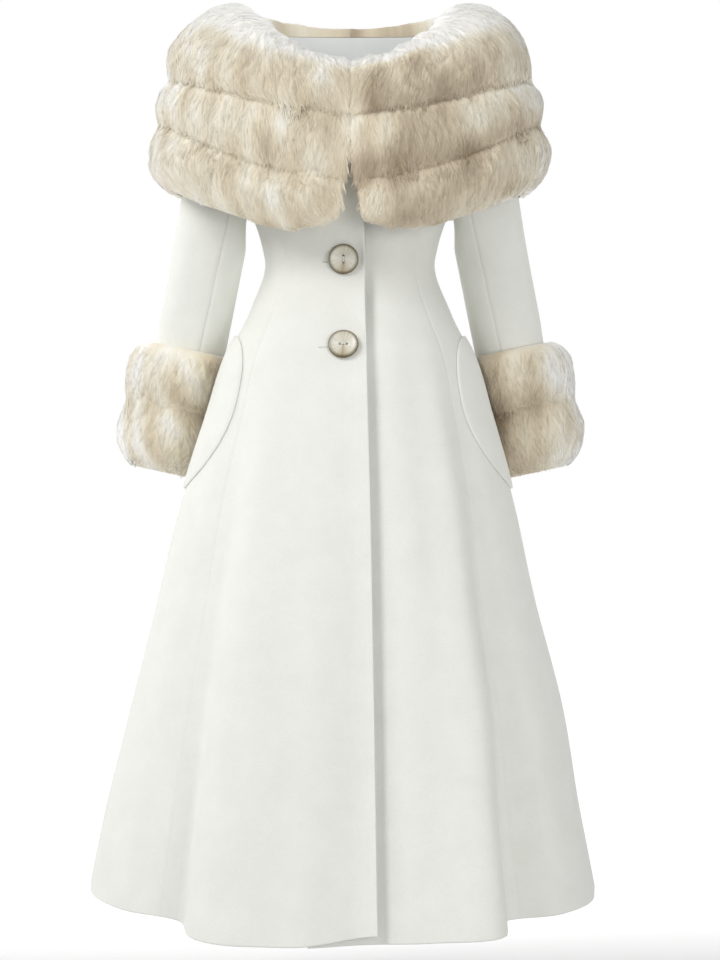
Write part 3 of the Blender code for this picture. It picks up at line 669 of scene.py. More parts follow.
def crease_lift(points, creases, place):
    """Height of the creases near these points, where place gives points of a crease's line."""
    lift = np.zeros(points.shape[:-1])
    steps = np.linspace(0.0, 1.0, CREASE_STEPS + 1)
    for crease in creases:
        line = place(blend(crease.start_angle, crease.end_angle, steps),
                     blend(crease.start_level, crease.end_level, steps))
        nearest_away = np.full(points.shape[:-1], np.inf)
        nearest_share = np.zeros(points.shape[:-1])
        for i, (start, run) in enumerate(zip(line, np.diff(line, axis=0))):
            share = np.clip((points - start) @ run / (run @ run), 0.0, 1.0)
            away = np.linalg.norm(points - start - share[..., None] * run, axis=-1)
            nearest_share = np.where(away < nearest_away, (i + share) / CREASE_STEPS, nearest_share)
            nearest_away = np.minimum(away, nearest_away)
        profile = np.exp(-(nearest_away / crease.half_width) ** 2)
        lift += crease.depth * np.sin(np.pi * nearest_share) * profile
    return lift


def edge_drop(away, half):
    """How far a free edge is rounded away at some distance from it."""
    inside = np.clip(half - away, 0.0, half)
    return half - np.sqrt(half ** 2 - inside ** 2)


def sewn_wall(points, normal, lift, thickness, edges):
    """Outer and inner grid of a cloth piece. edges says of first and last column, first and last row
    whether each is sewn to a neighbour, free, a turned hem or under another piece."""
    outer_drop = np.zeros(points.shape[:-1])
    inner_drop = np.zeros(points.shape[:-1])
    distances = distance_along(points, 1) + distance_along(points, 0)
    for kind, away in zip(edges, distances):
        if kind == "sewn":
            outer_drop += SEAM_SINK * np.exp(-(away / SEAM_SPREAD) ** 2)
        if kind in ("free", "hem"):
            rounded = edge_drop(away, thickness / 2)
            outer_drop = np.maximum(outer_drop, rounded)
            inner_drop = np.maximum(inner_drop, rounded)
        if kind == "hem":
            inner_drop = inner_drop - HEM_BUILD * smooth_step((HEM_TURN - away) / HEM_EASE)
    outer = points + normal * (lift - outer_drop)[..., None]
    inner = points + normal * (lift - thickness + inner_drop)[..., None]
    return outer, inner


def body_grid(start, stop, levels, shares):
    """Angles and levels of a panel between two edges, given as degrees at each level."""
    angle = blend(start[:, None], stop[:, None], shares[None, :])
    return angle, np.repeat(levels[:, None], len(shares), axis=1)


def fine_levels(low, high):
    count = max(int((high - low) / LEVEL_STEP), LEAST_STEPS)
    return blend(low, high, spread(count, high - low))


def panel_edge(seam_name, towards, levels):
    """Degrees of a front's or back's outer edge: along its princess seam, then round the armhole."""
    seam = column(SEAM_ROWS, seam_name, levels)
    up = np.clip((levels - ARMHOLE_LEVEL) / ARMHOLE_HALF_HEIGHT, -1.0, 1.0)
    armhole = SIDE_SEAM - towards * ARMHOLE_HALF_ANGLE * np.sqrt(1 - up ** 2)
    return np.where(levels <= ARMHOLE_LEVEL, seam, armhole) - towards * seam_degrees(levels)


def body_wall(angle, level, lift, edges, thickness=CLOTH, rise=0.0):
    """Outer and inner grid of a piece that lies on the body, with the body's creases."""
    points = body_point(angle, level)
    normal = body_normal(angle, level)
    lift = lift + crease_lift(points, BODY_CREASES, body_point)
    points[..., 2] += rise
    return sewn_wall(points, normal, lift, thickness, edges)


def away_from_buttons(level):
    """0 beside a button, which holds the lap flat, 1 away from it."""
    held = np.min([np.abs(level - button) for button in BUTTON_LEVELS.values()], axis=0)
    return smooth_step(held / LAP_CURL_EASE)


def add_front(name, side, materials):
    """Front panel: from the lap's edge to the princess seam, armhole and shoulder seam."""
    levels = fine_levels(HEM_LEVEL, NECK_LEVEL)
    over = name == "right"
    lap = column(LAP_ROWS, "over_edge" if over else "under_edge", levels)
    start = -np.abs(angle_at_x(lap, levels))
    stop = panel_edge("front_princess", 1.0, levels)
    angle, level = body_grid(start, stop, levels, spread(*ACROSS["front"]))
    angle = angle * side
    past = body_point(angle, level)[..., 0] - column(LAP_ROWS, "over_edge", level)
    loose = smooth_step((CHEST_LEVEL - level) / LAP_FADE)
    rise = 0.0
    if over:
        rise = CORNER_LIFT * smooth_step(1 + past / CORNER_WIDTH) * near_hem(level)
        width = blend(*LAP_CURL_WIDTHS, away_from_buttons(level))
        lift = LAP_CURL * smooth_step(1 + past / width) ** 2 * loose
    else:
        tuck = -LAP_DEPTH * smooth_step(1 - (past - CLOTH) / LAP_BLEND)
        hollow = LAP_HOLLOW * smooth_step(1 - past / LAP_HOLLOW_WIDTH) ** 2
        lift = tuck - hollow * loose * blend(LAP_HOLLOW_HELD, 1.0, away_from_buttons(level))
    outer, inner = body_wall(angle, level, lift, ("free", "sewn", "hem", "under"), rise=rise)
    add_cloth("front_" + name, outer, inner, CUTS["front"], materials)


def back_grid(side, low, fineness):
    """Angles and levels of a piece of the back, from some level up to the neckline."""
    levels = fine_levels(low, NECK_LEVEL)
    start = panel_edge("back_princess", -1.0, levels)
    angle, level = body_grid(start, 180.0 - seam_degrees(levels), levels, spread(*fineness))
    return angle * side, level


def add_back(name, side, materials):
    grid = back_grid(side, HEM_LEVEL, ACROSS["back"])
    outer, inner = body_wall(*grid, 0.0, ("sewn", "sewn", "hem", "under"))
    add_cloth("back_" + name, outer, inner, CUTS["back"], materials)


def add_facing(name, side, material):
    """Facing that lies inside the back's neckline."""
    grid = back_grid(side, FACING_LEVEL, ACROSS["back_neck_facing"])
    edges = ("under", "under", "free", "under")
    outer, inner = body_wall(*grid, -CLOTH - SEAM, edges, thickness=FACING_CLOTH)
    add_cloth("back_neck_facing_" + name, outer, inner, CUTS["back_neck_facing"], [material], "lining")


def add_side(name, piece, side, materials):
    """Side panel: from a princess seam to the side seam, with the armhole cut from its top."""
    seam_name, towards = SIDE_PANELS[piece]
    s = spread(*ACROSS["side"])[None, :]
    low = fine_levels(HEM_LEVEL, ARMHOLE_LEVEL)[:, None]
    quarter = s * math.pi / 2
    top = ARMHOLE_LEVEL - ARMHOLE_HALF_HEIGHT * np.sin(quarter)
    above = WAIST_LEVEL + (low - WAIST_LEVEL) * (top - WAIST_LEVEL) / (ARMHOLE_LEVEL - WAIST_LEVEL)
    level = np.where(low <= WAIST_LEVEL, low + 0 * top, above)
    seam = column(SEAM_ROWS, seam_name, level)
    rim = SIDE_SEAM - towards * ARMHOLE_HALF_ANGLE * np.cos(quarter)
    seam_at_top = column(SEAM_ROWS, seam_name, top)
    rim_share = (rim - seam_at_top) / (SIDE_SEAM - seam_at_top)
    rise = smooth_step((low - WAIST_LEVEL) / (ARMHOLE_LEVEL - WAIST_LEVEL))
    share = blend(s, rim_share, rise)
    start = seam + towards * seam_degrees(level)
    stop = SIDE_SEAM - towards * seam_degrees(level)
    angle = blend(start, stop, share) * side
    outer, inner = body_wall(angle, level, 0.0, ("sewn", "sewn", "hem", "sewn"))
    add_cloth(piece + "_" + name, outer, inner, CUTS[piece], materials)


# Sleeves
SLEEVE_LENGTH = np.linalg.norm(SLEEVE_END - SLEEVE_TOP)
SLEEVE_DOWN = (SLEEVE_END - SLEEVE_TOP) / SLEEVE_LENGTH
SLEEVE_OUT = unit(np.array((-SLEEVE_DOWN[2], 0.0, SLEEVE_DOWN[0])))
SLEEVE_FRONT = np.array((0.0, -1.0, 0.0))


def sleeve_direction(turn):
    """Away from the left sleeve's axis: 0 degrees outside, 90 front, 180 body side."""
    turn = np.radians(turn)[..., None]
    return np.cos(turn) * SLEEVE_OUT + np.sin(turn) * SLEEVE_FRONT


def tube_point(turn, reach, radius=SLEEVE_RADIUS):
    """Point of the straight sleeve, at some metres below its top ring."""
    axis = SLEEVE_TOP + SLEEVE_DOWN * np.asarray(reach)[..., None]
    return axis + sleeve_direction(turn) * np.asarray(radius)[..., None]


def cap_point(turn, share):
    """Sleeve cap: from the armhole's edge, share 0, to the sleeve's top ring, share 1."""
    radians = np.radians(turn)
    angle = SIDE_SEAM - ARMHOLE_HALF_ANGLE * np.sin(radians)
    level = ARMHOLE_LEVEL + ARMHOLE_HALF_HEIGHT * np.cos(radians)
    outside = (0.5 + 0.5 * np.cos(radians))[..., None]
    normal = body_normal(angle, level)
    first = body_point(angle, level) + normal * SEAM
    second = first + normal * blend(UNDERARM_SPREAD, CAP_SPREAD, outside)
    fourth = tube_point(turn, 0.0 * turn)
    third = fourth - SLEEVE_DOWN * blend(UNDERARM_DROP, CAP_DROP, outside)
    t = np.asarray(share)[..., None]
    return (first * (1 - t) ** 3 + 3 * second * t * (1 - t) ** 2
            + 3 * third * t ** 2 * (1 - t) + fourth * t ** 3)


def sleeve_point(turn, along):
    """Whole left sleeve: along runs from -1 at the armhole over 0 to 1 at the wrist."""
    turn, along = np.broadcast_arrays(turn, along)
    straight = tube_point(turn, np.clip(along, 0.0, None) * SLEEVE_LENGTH)
    cap = cap_point(turn, np.clip(along + 1.0, 0.0, 1.0))
    return np.where((along >= 0)[..., None], straight, cap)


def add_sleeve(name, side, materials):
    """Top and under sleeve, parted by the front and back seams."""
    along = np.linspace(-1.0, 1.0, 2 * SLEEVE_ROWS + 1)[:, None]
    front = blend(FRONT_SEAM_TOP, FRONT_SEAM_END, (along + 1) / 2)
    gap = math.degrees(SEAM / 2 / SLEEVE_RADIUS)
    spans = {
        "sleeve_top": (BACK_SEAM - 360 + gap, front - gap),
        "sleeve_under": (front + gap, BACK_SEAM - gap),
    }
    for piece, (start, stop) in spans.items():
        turn = blend(start, stop, spread(*ACROSS[piece])[None, :])
        points = sleeve_point(turn, along)
        normal = normals_of(sleeve_point, turn, np.broadcast_to(along, turn.shape), *SLEEVE_STEPS)
        normal = normal * np.sign((normal * sleeve_direction(turn)).sum(axis=-1, keepdims=True))
        lift = crease_lift(points, SLEEVE_CREASES, sleeve_point)
        lift = lift * smooth_step((along + 1) / SLEEVE_CREASE_FADE)
        outer, inner = sewn_wall(points, normal, lift, CLOTH, ("sewn", "sewn", "sewn", "free"))
        add_cloth(piece + "_" + name, mirrored(outer, side), mirrored(inner, side), CUTS[piece], materials)


# Pockets
def add_pocket(name, side, materials):
    """Half-moon on the side front, made from the body's points moved out."""
    ends = math.radians(POCKET_END)
    turn = blend(-ends, ends, spread(*ACROSS["pocket_edge"]))[:, None]
    power = np.where(turn > 0, POCKET_TOP_POWER, POCKET_LOW_POWER)
    half = np.where(turn > 0, POCKET_UP, POCKET_DOWN)
    level = POCKET_LEVEL + half * np.sign(turn) * np.abs(np.sin(turn)) ** (2 / power)
    edge = SIDE_SEAM - POCKET_HALF_ANGLE * np.cos(turn) ** (2 / power)
    s = spread(*ACROSS["pocket"])[None, :]
    angle = blend(edge, SIDE_SEAM, s) * side
    level = level + 0 * s
    fullness = POCKET_FULLNESS * np.sin(np.pi * s) * np.cos(turn)
    from_edge = distance_along(body_point(angle, level), 1)[0]
    bead = POCKET_BEAD * np.exp(-((from_edge - POCKET_BEAD_AT) / POCKET_BEAD_WIDTH) ** 2) * np.cos(turn)
    press = POCKET_PRESS * np.exp(-(from_edge / POCKET_PRESS_RUN) ** 2)
    outer, inner = body_wall(angle, level, POCKET_GAP + POCKET_CLOTH + fullness + bead - press,
                             ("free", "sewn", "free", "free"), thickness=POCKET_CLOTH)
    add_cloth("pocket_" + name, outer, inner, CUTS["pocket"], materials)


# Buttons
ButtonPoint = namedtuple("ButtonPoint", "radius height")
BUTTON_PROFILE = (
    ButtonPoint(0.0, 0.0034),
    ButtonPoint(0.0060, 0.00345),
    ButtonPoint(0.0120, 0.0036),
    ButtonPoint(0.0140, 0.0041),
    ButtonPoint(0.0150, 0.0048),
    ButtonPoint(0.0162, 0.0053),
    ButtonPoint(0.0175, 0.0054),
    ButtonPoint(0.0186, 0.0051),
    ButtonPoint(0.0194, 0.0044),
    ButtonPoint(0.0200, 0.0030),
    ButtonPoint(0.0196, 0.0018),
    ButtonPoint(0.0186, 0.0008),
    ButtonPoint(0.0165, 0.0),
    ButtonPoint(0.0, 0.0),
)


def button_seat(level):
    """Place and direction of a button's flat back, resting on the over front."""
    level = np.array(level)
    place = body_point(angle_at_x(BUTTON_X, level), level)
    round_it = np.linspace(0.0, 2 * math.pi, BUTTON_RESTS, endpoint=False)
    rim_level = level + BUTTON_REST * np.sin(round_it)
    rim = body_point(angle_at_x(BUTTON_X + BUTTON_REST * np.cos(round_it), rim_level), rim_level)
    right, up, left, down = rim[::BUTTON_RESTS // 4]
    normal = unit(np.cross(right - left, up - down))
    stand = ((rim - place) @ normal).max() + BUTTON_GAP
    return place + normal * stand, Vector(normal).to_track_quat("Z", "X").to_euler()


def mesh_from(work, name):
    mesh = bpy.data.meshes.new(name)
    work.to_mesh(mesh)
    work.free()
    return mesh


def turned_mesh(name, profile, steps):
    """A profile turned about the Z axis, with its two ends on the axis."""
    work = bmesh.new()
    points = [work.verts.new((point.radius, 0.0, point.height)) for point in profile]
    edges = [work.edges.new(pair) for pair in zip(points, points[1:])]
    bmesh.ops.spin(work, geom=points + edges, cent=(0, 0, 0), axis=(0, 0, 1), angle=2 * math.pi, steps=steps)
    bmesh.ops.remove_doubles(work, verts=work.verts, dist=0.00001)
    bmesh.ops.recalc_face_normals(work, faces=work.faces)
    mesh = mesh_from(work, name)
    mesh.shade_smooth()
    return mesh


def cut_holes(piece, turn):
    """Two thread holes through a button."""
    for end in (-1, 1):
        across = end * BUTTON_HOLE_SPACING / 2
        work = bmesh.new()
        bmesh.ops.create_cone(work, cap_ends=True, segments=BUTTON_HOLE_STEPS, radius1=BUTTON_HOLE_RADIUS,
                              radius2=BUTTON_HOLE_RADIUS, depth=BUTTON_HOLE_DEPTH)
        bmesh.ops.translate(work, verts=work.verts, vec=(across * math.cos(turn), across * math.sin(turn), 0))
        cutter = add_object("hole", mesh_from(work, "hole"))
        cut = piece.modifiers.new("hole", "BOOLEAN")
        cut.object = cutter
        bpy.context.view_layer.update()
        holed = piece.evaluated_get(bpy.context.evaluated_depsgraph_get())
        piece.modifiers.clear()
        piece.data = bpy.data.meshes.new_from_object(holed)
        bpy.data.objects.remove(cutter)


def thread_mesh(name, turn):
    """Two threads side by side from one hole of a button to the other."""
    u = np.linspace(-1.0, 1.0, THREAD_STEPS)[:, None]
    round_it = np.linspace(0.0, 2 * math.pi, THREAD_SIDES, endpoint=False)[None, :]
    points, faces = [], []
    for offset in (-THREAD_APART / 2, THREAD_APART / 2):
        along = u * BUTTON_HOLE_SPACING / 2 + 0.0 * round_it
        beside = offset + THREAD_RADIUS * np.cos(round_it) + 0.0 * u
        middle = BUTTON_PROFILE[0].height + THREAD_RISE * (1 - THREAD_DIP * u ** 4)
        up = middle + THREAD_RADIUS * np.sin(round_it)
        x = along * math.cos(turn) - beside * math.sin(turn)
        y = along * math.sin(turn) + beside * math.cos(turn)
        faces.append(grid_quads(*along.shape, first=len(faces) * along.size, wrap=True))
        points.append(np.stack([x, y, up], axis=-1).reshape(-1, 3))
    return new_mesh(name, np.concatenate(points), faces)


def add_button(name, level, horn, thread):
    turn = math.radians(BUTTON_TURNS[name])
    mesh = turned_mesh("button_" + name, BUTTON_PROFILE, BUTTON_STEPS)
    mesh.materials.append(horn)
    piece = add_piece("button_" + name + "_horn", mesh, "horn", "button_" + name)
    cut_holes(piece, turn)
    piece.data.set_sharp_from_angle(angle=math.radians(BUTTON_SHARP))
    sewing = thread_mesh("sewing_" + name, turn)
    sewing.materials.append(thread)
    threads = add_piece("button_" + name + "_thread", sewing, "lining")
    for part in (piece, threads):
        part.location, part.rotation_euler = button_seat(level)


def add_buttonhole(name, level, thread):
    """Sewn edges of the buttonhole behind a button, with the slit between them."""
    x = np.linspace(*BUTTONHOLE_ENDS[name], BUTTONHOLE_STEPS)[None, :]
    across, rise = (np.array(values)[:, None] for values in (BUTTONHOLE_ACROSS, BUTTONHOLE_RISE))
    ends = np.clip(np.minimum(x - x.min(), x.max() - x) / BUTTONHOLE_HALF, BUTTONHOLE_TIP, 1.0)
    at = level - BUTTONHOLE_DROP + across * BUTTONHOLE_HALF * np.sqrt(ends)
    angle = angle_at_x(x + 0.0 * at, at)
    outer, inner = body_wall(angle, at, rise + 0.0 * x, ("under",) * 4, thickness=BUTTONHOLE_CLOTH)
    mesh = wall_mesh("buttonhole_" + name, outer, inner)
    mesh.materials.append(thread)
    add_piece("buttonhole_" + name + "_thread", mesh, "lining")


# Fur
def edge_round(away, radius):
    """Share of the full height near an edge that is rounded off."""
    return np.sqrt(1 - (1 - np.clip(away / radius, 0.0, 1.0)) ** 2)


def band_height(row, t):
    """Height of fur across a band: low at its seams, full between them."""
    t = np.clip(t, 0.0, 1.0)
    ends = blend(row.start, row.end, t)
    return ends + (row.crest - ends) * np.clip(np.sin(np.pi * t), 0.0, 1.0) ** BAND_FULLNESS


def collar_point(angle, down):
    """Drape under the fur, for the left half: down runs from the neckline, 0, to the edge, 1."""
    turn = np.radians(angle)
    quarter = np.clip(down, 0.0, 1.0) * math.pi / 2
    out = np.sin(quarter) ** (2 / COLLAR_SQUARENESS)
    up = np.cos(quarter) ** (2 / COLLAR_SQUARENESS)
    front = np.cos(turn) > 0
    neck_depth = np.where(front, COLLAR_NECK_FRONT, COLLAR_NECK_BACK)
    edge_depth = np.where(front, COLLAR_EDGE_FRONT, COLLAR_EDGE_BACK)
    neck_height = by_quarter(angle, NECK_FRONT, NECK_SIDE, NECK_BACK) + FUR_STAND
    edge_height = by_quarter(angle, *COLLAR_EDGE_HEIGHTS)
    x = blend(COLLAR_NECK_WIDTH, COLLAR_EDGE_WIDTH, out) * np.sin(turn)
    y = -blend(neck_depth, edge_depth, out) * np.cos(turn)
    z = blend(edge_height, neck_height, up) - DRAPE_LENGTH * np.maximum(down - 1, 0.0)
    return np.stack(np.broadcast_arrays(x, y, z), axis=-1)


def collar_place(row, name, side):
    """A function that gives points of a collar band: share across from front to back, share down
    the band, and share of the fur's height."""
    stop = 180.0 - math.degrees(SEAM / 2 / COLLAR_NECK_WIDTH)

    def place(s, t, height_share):
        if row.name == "low":
            t = t * (1 - CORNER_CUT * (1 - edge_round(s, CORNER_ROUND)))
        inside = np.clip(t, 0.0, 1.0)
        run = blend(row.top_front, row.bottom_front, inside)
        opened = np.clip((run - COLLAR_PART_FROM) / (1 - COLLAR_PART_FROM), 0.0, 1.0) ** 2
        part = blend(COLLAR_PART_TOP, COLLAR_PART_EDGE[name], opened)
        start = np.degrees(np.arcsin(part / blend(COLLAR_NECK_WIDTH, COLLAR_EDGE_WIDTH, inside)))
        angle = start + (stop - start) * s
        top = by_quarter(angle, row.top_front, row.top_side, row.top_side)
        bottom = by_quarter(angle, row.bottom_front, row.bottom_side, row.bottom_side)
        down = blend(top, bottom, t)
        points = collar_point(angle, down)
        normal = -normals_of(collar_point, angle, np.clip(down, *DRAPE_ENDS), *DRAPE_STEPS)
        from_part = np.where(points[..., 1] < 0, points[..., 0] - part, FUR_END_LENGTH)
        near_part = 1 - smooth_step(from_part / FUR_END_LENGTH)
        taper = 1 - FUR_END_TAPER * near_part * smooth_step(down / FUR_END_FROM)
        taper = taper * blend(PART_ROUND_LEAST, 1.0, edge_round(from_part, PART_ROUND))
        at_back = blend(by_quarter(angle, 1.0, 1.0, BACK_NECK_FUR), 1.0, smooth_step(down / BACK_NECK_RUN))
        rounded = blend(EDGE_ROUND_LEAST, 1.0, edge_round(1 - down, EDGE_ROUND))
        rounded = rounded * blend(NECK_LEAST, 1.0, edge_round(down, NECK_ROLL))
        height = band_height(row, t) * taper * at_back * rounded * height_share
        lean = np.radians(NECK_LEAN * by_quarter(angle, 1.0, 1.0, 0.0)) * (1 - edge_round(down, NECK_ROLL))
        inwards = points * np.array((-1.0, -1.0, 0.0))
        inwards = unit(inwards - normal * (inwards * normal).sum(axis=-1, keepdims=True))
        towards = normal * np.cos(lean)[..., None] + inwards * np.sin(lean)[..., None]
        return mirrored(points + towards * height[..., None], side)

    return place


def skirt_room(points):
    """How far points stand outside the skirt, measured level, less the clearance."""
    level = points[..., 2]
    across = points[..., 0] / column(BODY_RINGS, "half_width", level)
    behind = points[..., 1] / column(BODY_RINGS, "back_depth", level)
    skirt = body_point(np.degrees(np.arctan2(across, -behind)), level)
    away = np.linalg.norm(points[..., :2], axis=-1) - np.linalg.norm(skirt[..., :2], axis=-1)
    return away - CUFF_CLEARANCE


def cuff_reach(row, t):
    return (SLEEVE_TOP[2] - blend(row.top, row.bottom, t)) / -SLEEVE_DOWN[2]


def pressed_height(row, side, turn, t):
    """Height of a cuff's fur, pressed flat where it would reach the skirt."""
    height = band_height(row, t) + 0.0 * turn
    reach = cuff_reach(row, t) + 0.0 * turn
    for _ in range(CUFF_PRESS_STEPS):
        room = skirt_room(mirrored(tube_point(turn, reach, CUFF_RADIUS + height), side))
        height = np.where(room < 0, np.maximum(height * CUFF_PRESS, CUFF_THINNEST), height)
    return height


def between(values, i, j, down, across):
    """Values between the points of a lattice that joins up both ways."""
    rows, columns = values.shape
    i, below = i % rows, (i + 1) % rows
    j, beside = j % columns, (j + 1) % columns
    near = blend(values[i, j], values[i, beside], across)
    far = blend(values[below, j], values[below, beside], across)
    return blend(near, far, down)


def cuff_place(row, side):
    """A function that gives points of a cuff band, as collar_place does for a collar band."""
    turns, shares = np.linspace(0.0, 360.0, CUFF_TURNS), np.linspace(0.0, 1.0, CUFF_SHARES)
    heights = pressed_height(row, side, turns[:, None], shares[None, :])
    if row.name == "lower":
        heights = heights * blend(CUFF_END_LEAST, 1.0, edge_round(1 - shares, CUFF_END_ROUND))[None, :]

    def place(s, t, height_share):
        s, t = np.broadcast_arrays(s, t)
        round_it = np.mod(s, 1.0) * (CUFF_TURNS - 1)
        inside = np.clip(t, 0.0, 1.0) * (CUFF_SHARES - 1)
        i = np.minimum(round_it.astype(int), CUFF_TURNS - 2)
        j = np.minimum(inside.astype(int), CUFF_SHARES - 2)
        radius = CUFF_RADIUS + between(heights, i, j, round_it - i, inside - j) * height_share
        return mirrored(tube_point(s * 360.0, cuff_reach(row, t), radius), side)

    return place


def soft_noise(rng, sizes):
    """A smooth uneven field over points in space, from about -2 to 2, with lumps of some width and length."""
    width, length = sizes
    waves = rng.uniform(-1.0, 1.0, (NOISE_WAVES, 3)) / np.array((width, width, length))
    starts = rng.uniform(0.0, 2 * math.pi, NOISE_WAVES)

    def field(points):
        turns = 2 * math.pi * (points @ waves.T) + starts
        return np.sin(turns).sum(axis=-1) / math.sqrt(NOISE_WAVES / 2)

    return field


def lumpy(place, lumps):
    """The same places with the fur's height made uneven."""
    def uneven(s, t, height_share):
        return place(s, t, height_share * (1 + LUMP_HEIGHT * lumps(place(s, t, 0.0 * s))))

    return uneven


def fur_tones(fur, half, patches):
    """A function that gives the fur's tone from 0, dark brown, to 1, white: pale along the neckline, darker
    at the seams and the band's tips as painted shade in the valleys, paler outside as painted light, uneven
    between."""
    def tone_at(s, t, points):
        inside = np.clip(t, 0.0, 1.0)
        # Painted shade in the valleys between bands: darker from the band's start and over its lower part
        seams = fur.seam_shade * np.exp(-inside / PAINTED_SEAM_SHADE_RUN)
        seams = seams + fur.tip_shade * smooth_step((t - PAINTED_TIP_SHADE_FROM) / PAINTED_TIP_SHADE_RUN)
        outside = np.cos(2 * np.pi * s)
        # Painted light: the collar paler at its outer side and darker to front and back; a cuff paler outside
        # and darker towards the body
        shaded = half.tone - half.sides * fur.side_tone * outside + PATCH_SHADE * patches(points)
        # On a cuff the painted seam shade grows towards the body side, where the cuff meets the skirt
        shaded = shaded - seams * (half.seams if fur.parted else half.cuff_seams * (1 - outside))
        at_back = smooth_step((s - RIM_END[0]) / (RIM_END[1] - RIM_END[0]))
        if fur.parted:
            shaded = shaded + half.front_edge * np.exp(-(s / FRONT_EDGE_RUN) ** 2) - BACK_SHADE * at_back
        rim = 1 - smooth_step((inside - blend(*RIM_WIDTH, np.sin(np.pi * s) ** 2)) / RIM_FADE)
        return blend(shaded, RIM_TONE, rim * (1 - at_back) * fur.rim)

    return tone_at


def fur_sizes(place, s, t):
    """Metres for a step of 1 across and down a band, at places away from its edges."""
    s, t = np.clip(s, SIZE_STEP, 1 - SIZE_STEP), np.clip(t, SIZE_MARGIN, 1 - SIZE_MARGIN)
    middle = np.full(np.shape(s), SIZE_HEIGHT)
    across = place(s + SIZE_STEP, t, middle) - place(s - SIZE_STEP, t, middle)
    down = place(s, t + SIZE_STEP, middle) - place(s, t - SIZE_STEP, middle)
    return [np.linalg.norm(step, axis=-1) / (2 * SIZE_STEP) for step in (across, down)]


def scatter(rng, place, count, low, high):
    """Even random places on a band, as shares across and down."""
    s = rng.random(count * STRAND_CHOICE)
    t = rng.uniform(low, high, count * STRAND_CHOICE)
    across, down = fur_sizes(place, np.clip(s, SCATTER_MARGIN, 1 - SCATTER_MARGIN), t)
    chance = across * down
    kept = rng.choice(len(s), count, replace=False, p=chance / chance.sum())
    return s[kept], t[kept]


def value_noise(rng, columns, rows):
    """Uneven values that run smoothly between the points of a lattice."""
    values = rng.normal(0.0, 1.0, (rows, columns))

    def field(u, v):
        i, j = np.floor(v).astype(int), np.floor(u).astype(int)
        return between(values, i, j, smooth_step(v - i), smooth_step(u - j))

    return field


def fur_leans(fur, place, sway):
    """A function that gives how far the fur leans to the front for each metre down."""
    def lean_at(s, t):
        to_front = fur.front_lean * (1 - smooth_step(s / FRONT_LEAN_RUN))
        return to_front + SWAY * sway(place(s, t, 0.0 * s))

    return lean_at


def tuft_layers(rng, place, lean_at):
    """A function that gives the swell of each size of tufts, which run down a band and lean with the fur."""
    spots = np.linspace(SIZE_MARGIN, 1 - SIZE_MARGIN, TUFT_SPOTS)
    across, down = (sizes.mean() for sizes in fur_sizes(place, spots, np.full(TUFT_SPOTS, 0.5)))
    counts = [(round(across / row.width), math.ceil(2 * down / row.length)) for row in TUFTS]
    counts = [(max(columns, TUFTS_LEAST), max(rows, TUFTS_LEAST)) for columns, rows in counts]
    noises = [value_noise(rng, *count) for count in counts]

    def layers(s, t):
        lean = lean_at(s, t) * t * down / across
        return [np.abs(noise((s + lean) * columns, t * down / row.length)) - TUFT_MIDDLE
                for row, noise, (columns, _) in zip(TUFTS, noises, counts)]

    return layers


# A band's table row and the functions that give its places, tones, leans and tufts
Band = namedtuple("Band", "fur place tone_at lean_at layers")


def fur_surface(band, s, t, lift):
    """Points and tones on a band's tufts, or above them by some share of the fur's height."""
    swells = band.layers(s, t)
    height = 1 + lift + sum(row.height * swell for row, swell in zip(TUFTS, swells))
    rise = band.fur.overlap * np.clip((t - 1) / OVERLAP_RUN, 0.0, OVERLAP_MOST) ** BAND_FULLNESS
    points = band.place(s, t, height + rise)
    # Painted shade: the tufts' crests paler, the dips between them darker
    return points, band.tone_at(s, t, points) + sum(row.tone * swell for row, swell in zip(TUFTS, swells))


def tuft_reach(band, s, t):
    """How far tufts pass a band's end, as a share: the fuller ones further."""
    large, small = band.layers(s, t)
    return np.clip(TUFT_REACH + TUFT_REACH_LARGE * large + small, 0.0, TUFT_REACH_MOST)


def band_grid(columns, rows, wrap):
    """Shares across and down a band at the points of a grid, which may go all round."""
    across = np.arange(columns if wrap else columns + 1) / columns
    return np.meshgrid(across, np.arange(rows + 1) / rows)


def fur_shell(band, wrap):
    """Fur of a band as one surface with tufts, which comes down to the cloth all round."""
    fur = band.fur
    s, t = band_grid(fur.columns, fur.rows, wrap)
    t = blend(fur.first, 1.0, t ** ROW_CROWDING)
    lift = SHELL_FILL * (fur.first < 0) * (1 - smooth_step((t - fur.first) / SHELL_FILL_RUN))
    lift = lift - SHELL_SINK * (fur.overlap > 0) * smooth_step(1 - (1 - t) / SHELL_SINK_RUN)
    ends = smooth_step((t - TUFT_ENDS_FROM) / (1 - TUFT_ENDS_FROM))
    t = t + fur.overhang * tuft_reach(band, s, t) * ends
    edge = ((1, 1), (0, 0) if wrap else (1, 1))
    inside = np.pad(np.ones(s.shape, bool), edge)
    s, t, lift = (np.pad(grid, edge, mode="edge") for grid in (s, t, lift))
    points, tones = fur_surface(band, s, t, lift)
    points = np.where(inside[..., None], points, band.place(s, t, 0.0 * s))
    chart = np.stack([tones, np.full(tones.shape, SHELL_LENGTH)], axis=-1)
    return points.reshape(-1, 3), chart.reshape(-1, 2), grid_quads(*s.shape, wrap=wrap)


def fur_base(band, wrap, first):
    """Plain underside of a band, against the cloth."""
    s, t = band_grid(BASE_COLUMNS, BASE_ROWS, wrap)
    points = band.place(s, t, 0.0 * s)
    chart = np.stack([band.tone_at(s, t, points), np.full(s.shape, BASE_LENGTH)], axis=-1)
    return points.reshape(-1, 3), chart.reshape(-1, 2), grid_quads(*s.shape, first, wrap)[:, ::-1]


def gathered(band, s, t, across):
    """Strand tips drawn together towards the middle of their tufts."""
    look = CLUMP_LOOK / across
    slope = sum(band.layers(s + look, t)) - sum(band.layers(s - look, t))
    return s + CLUMP_PULL / across * np.clip(slope / CLUMP_SLOPE, -1.0, 1.0)


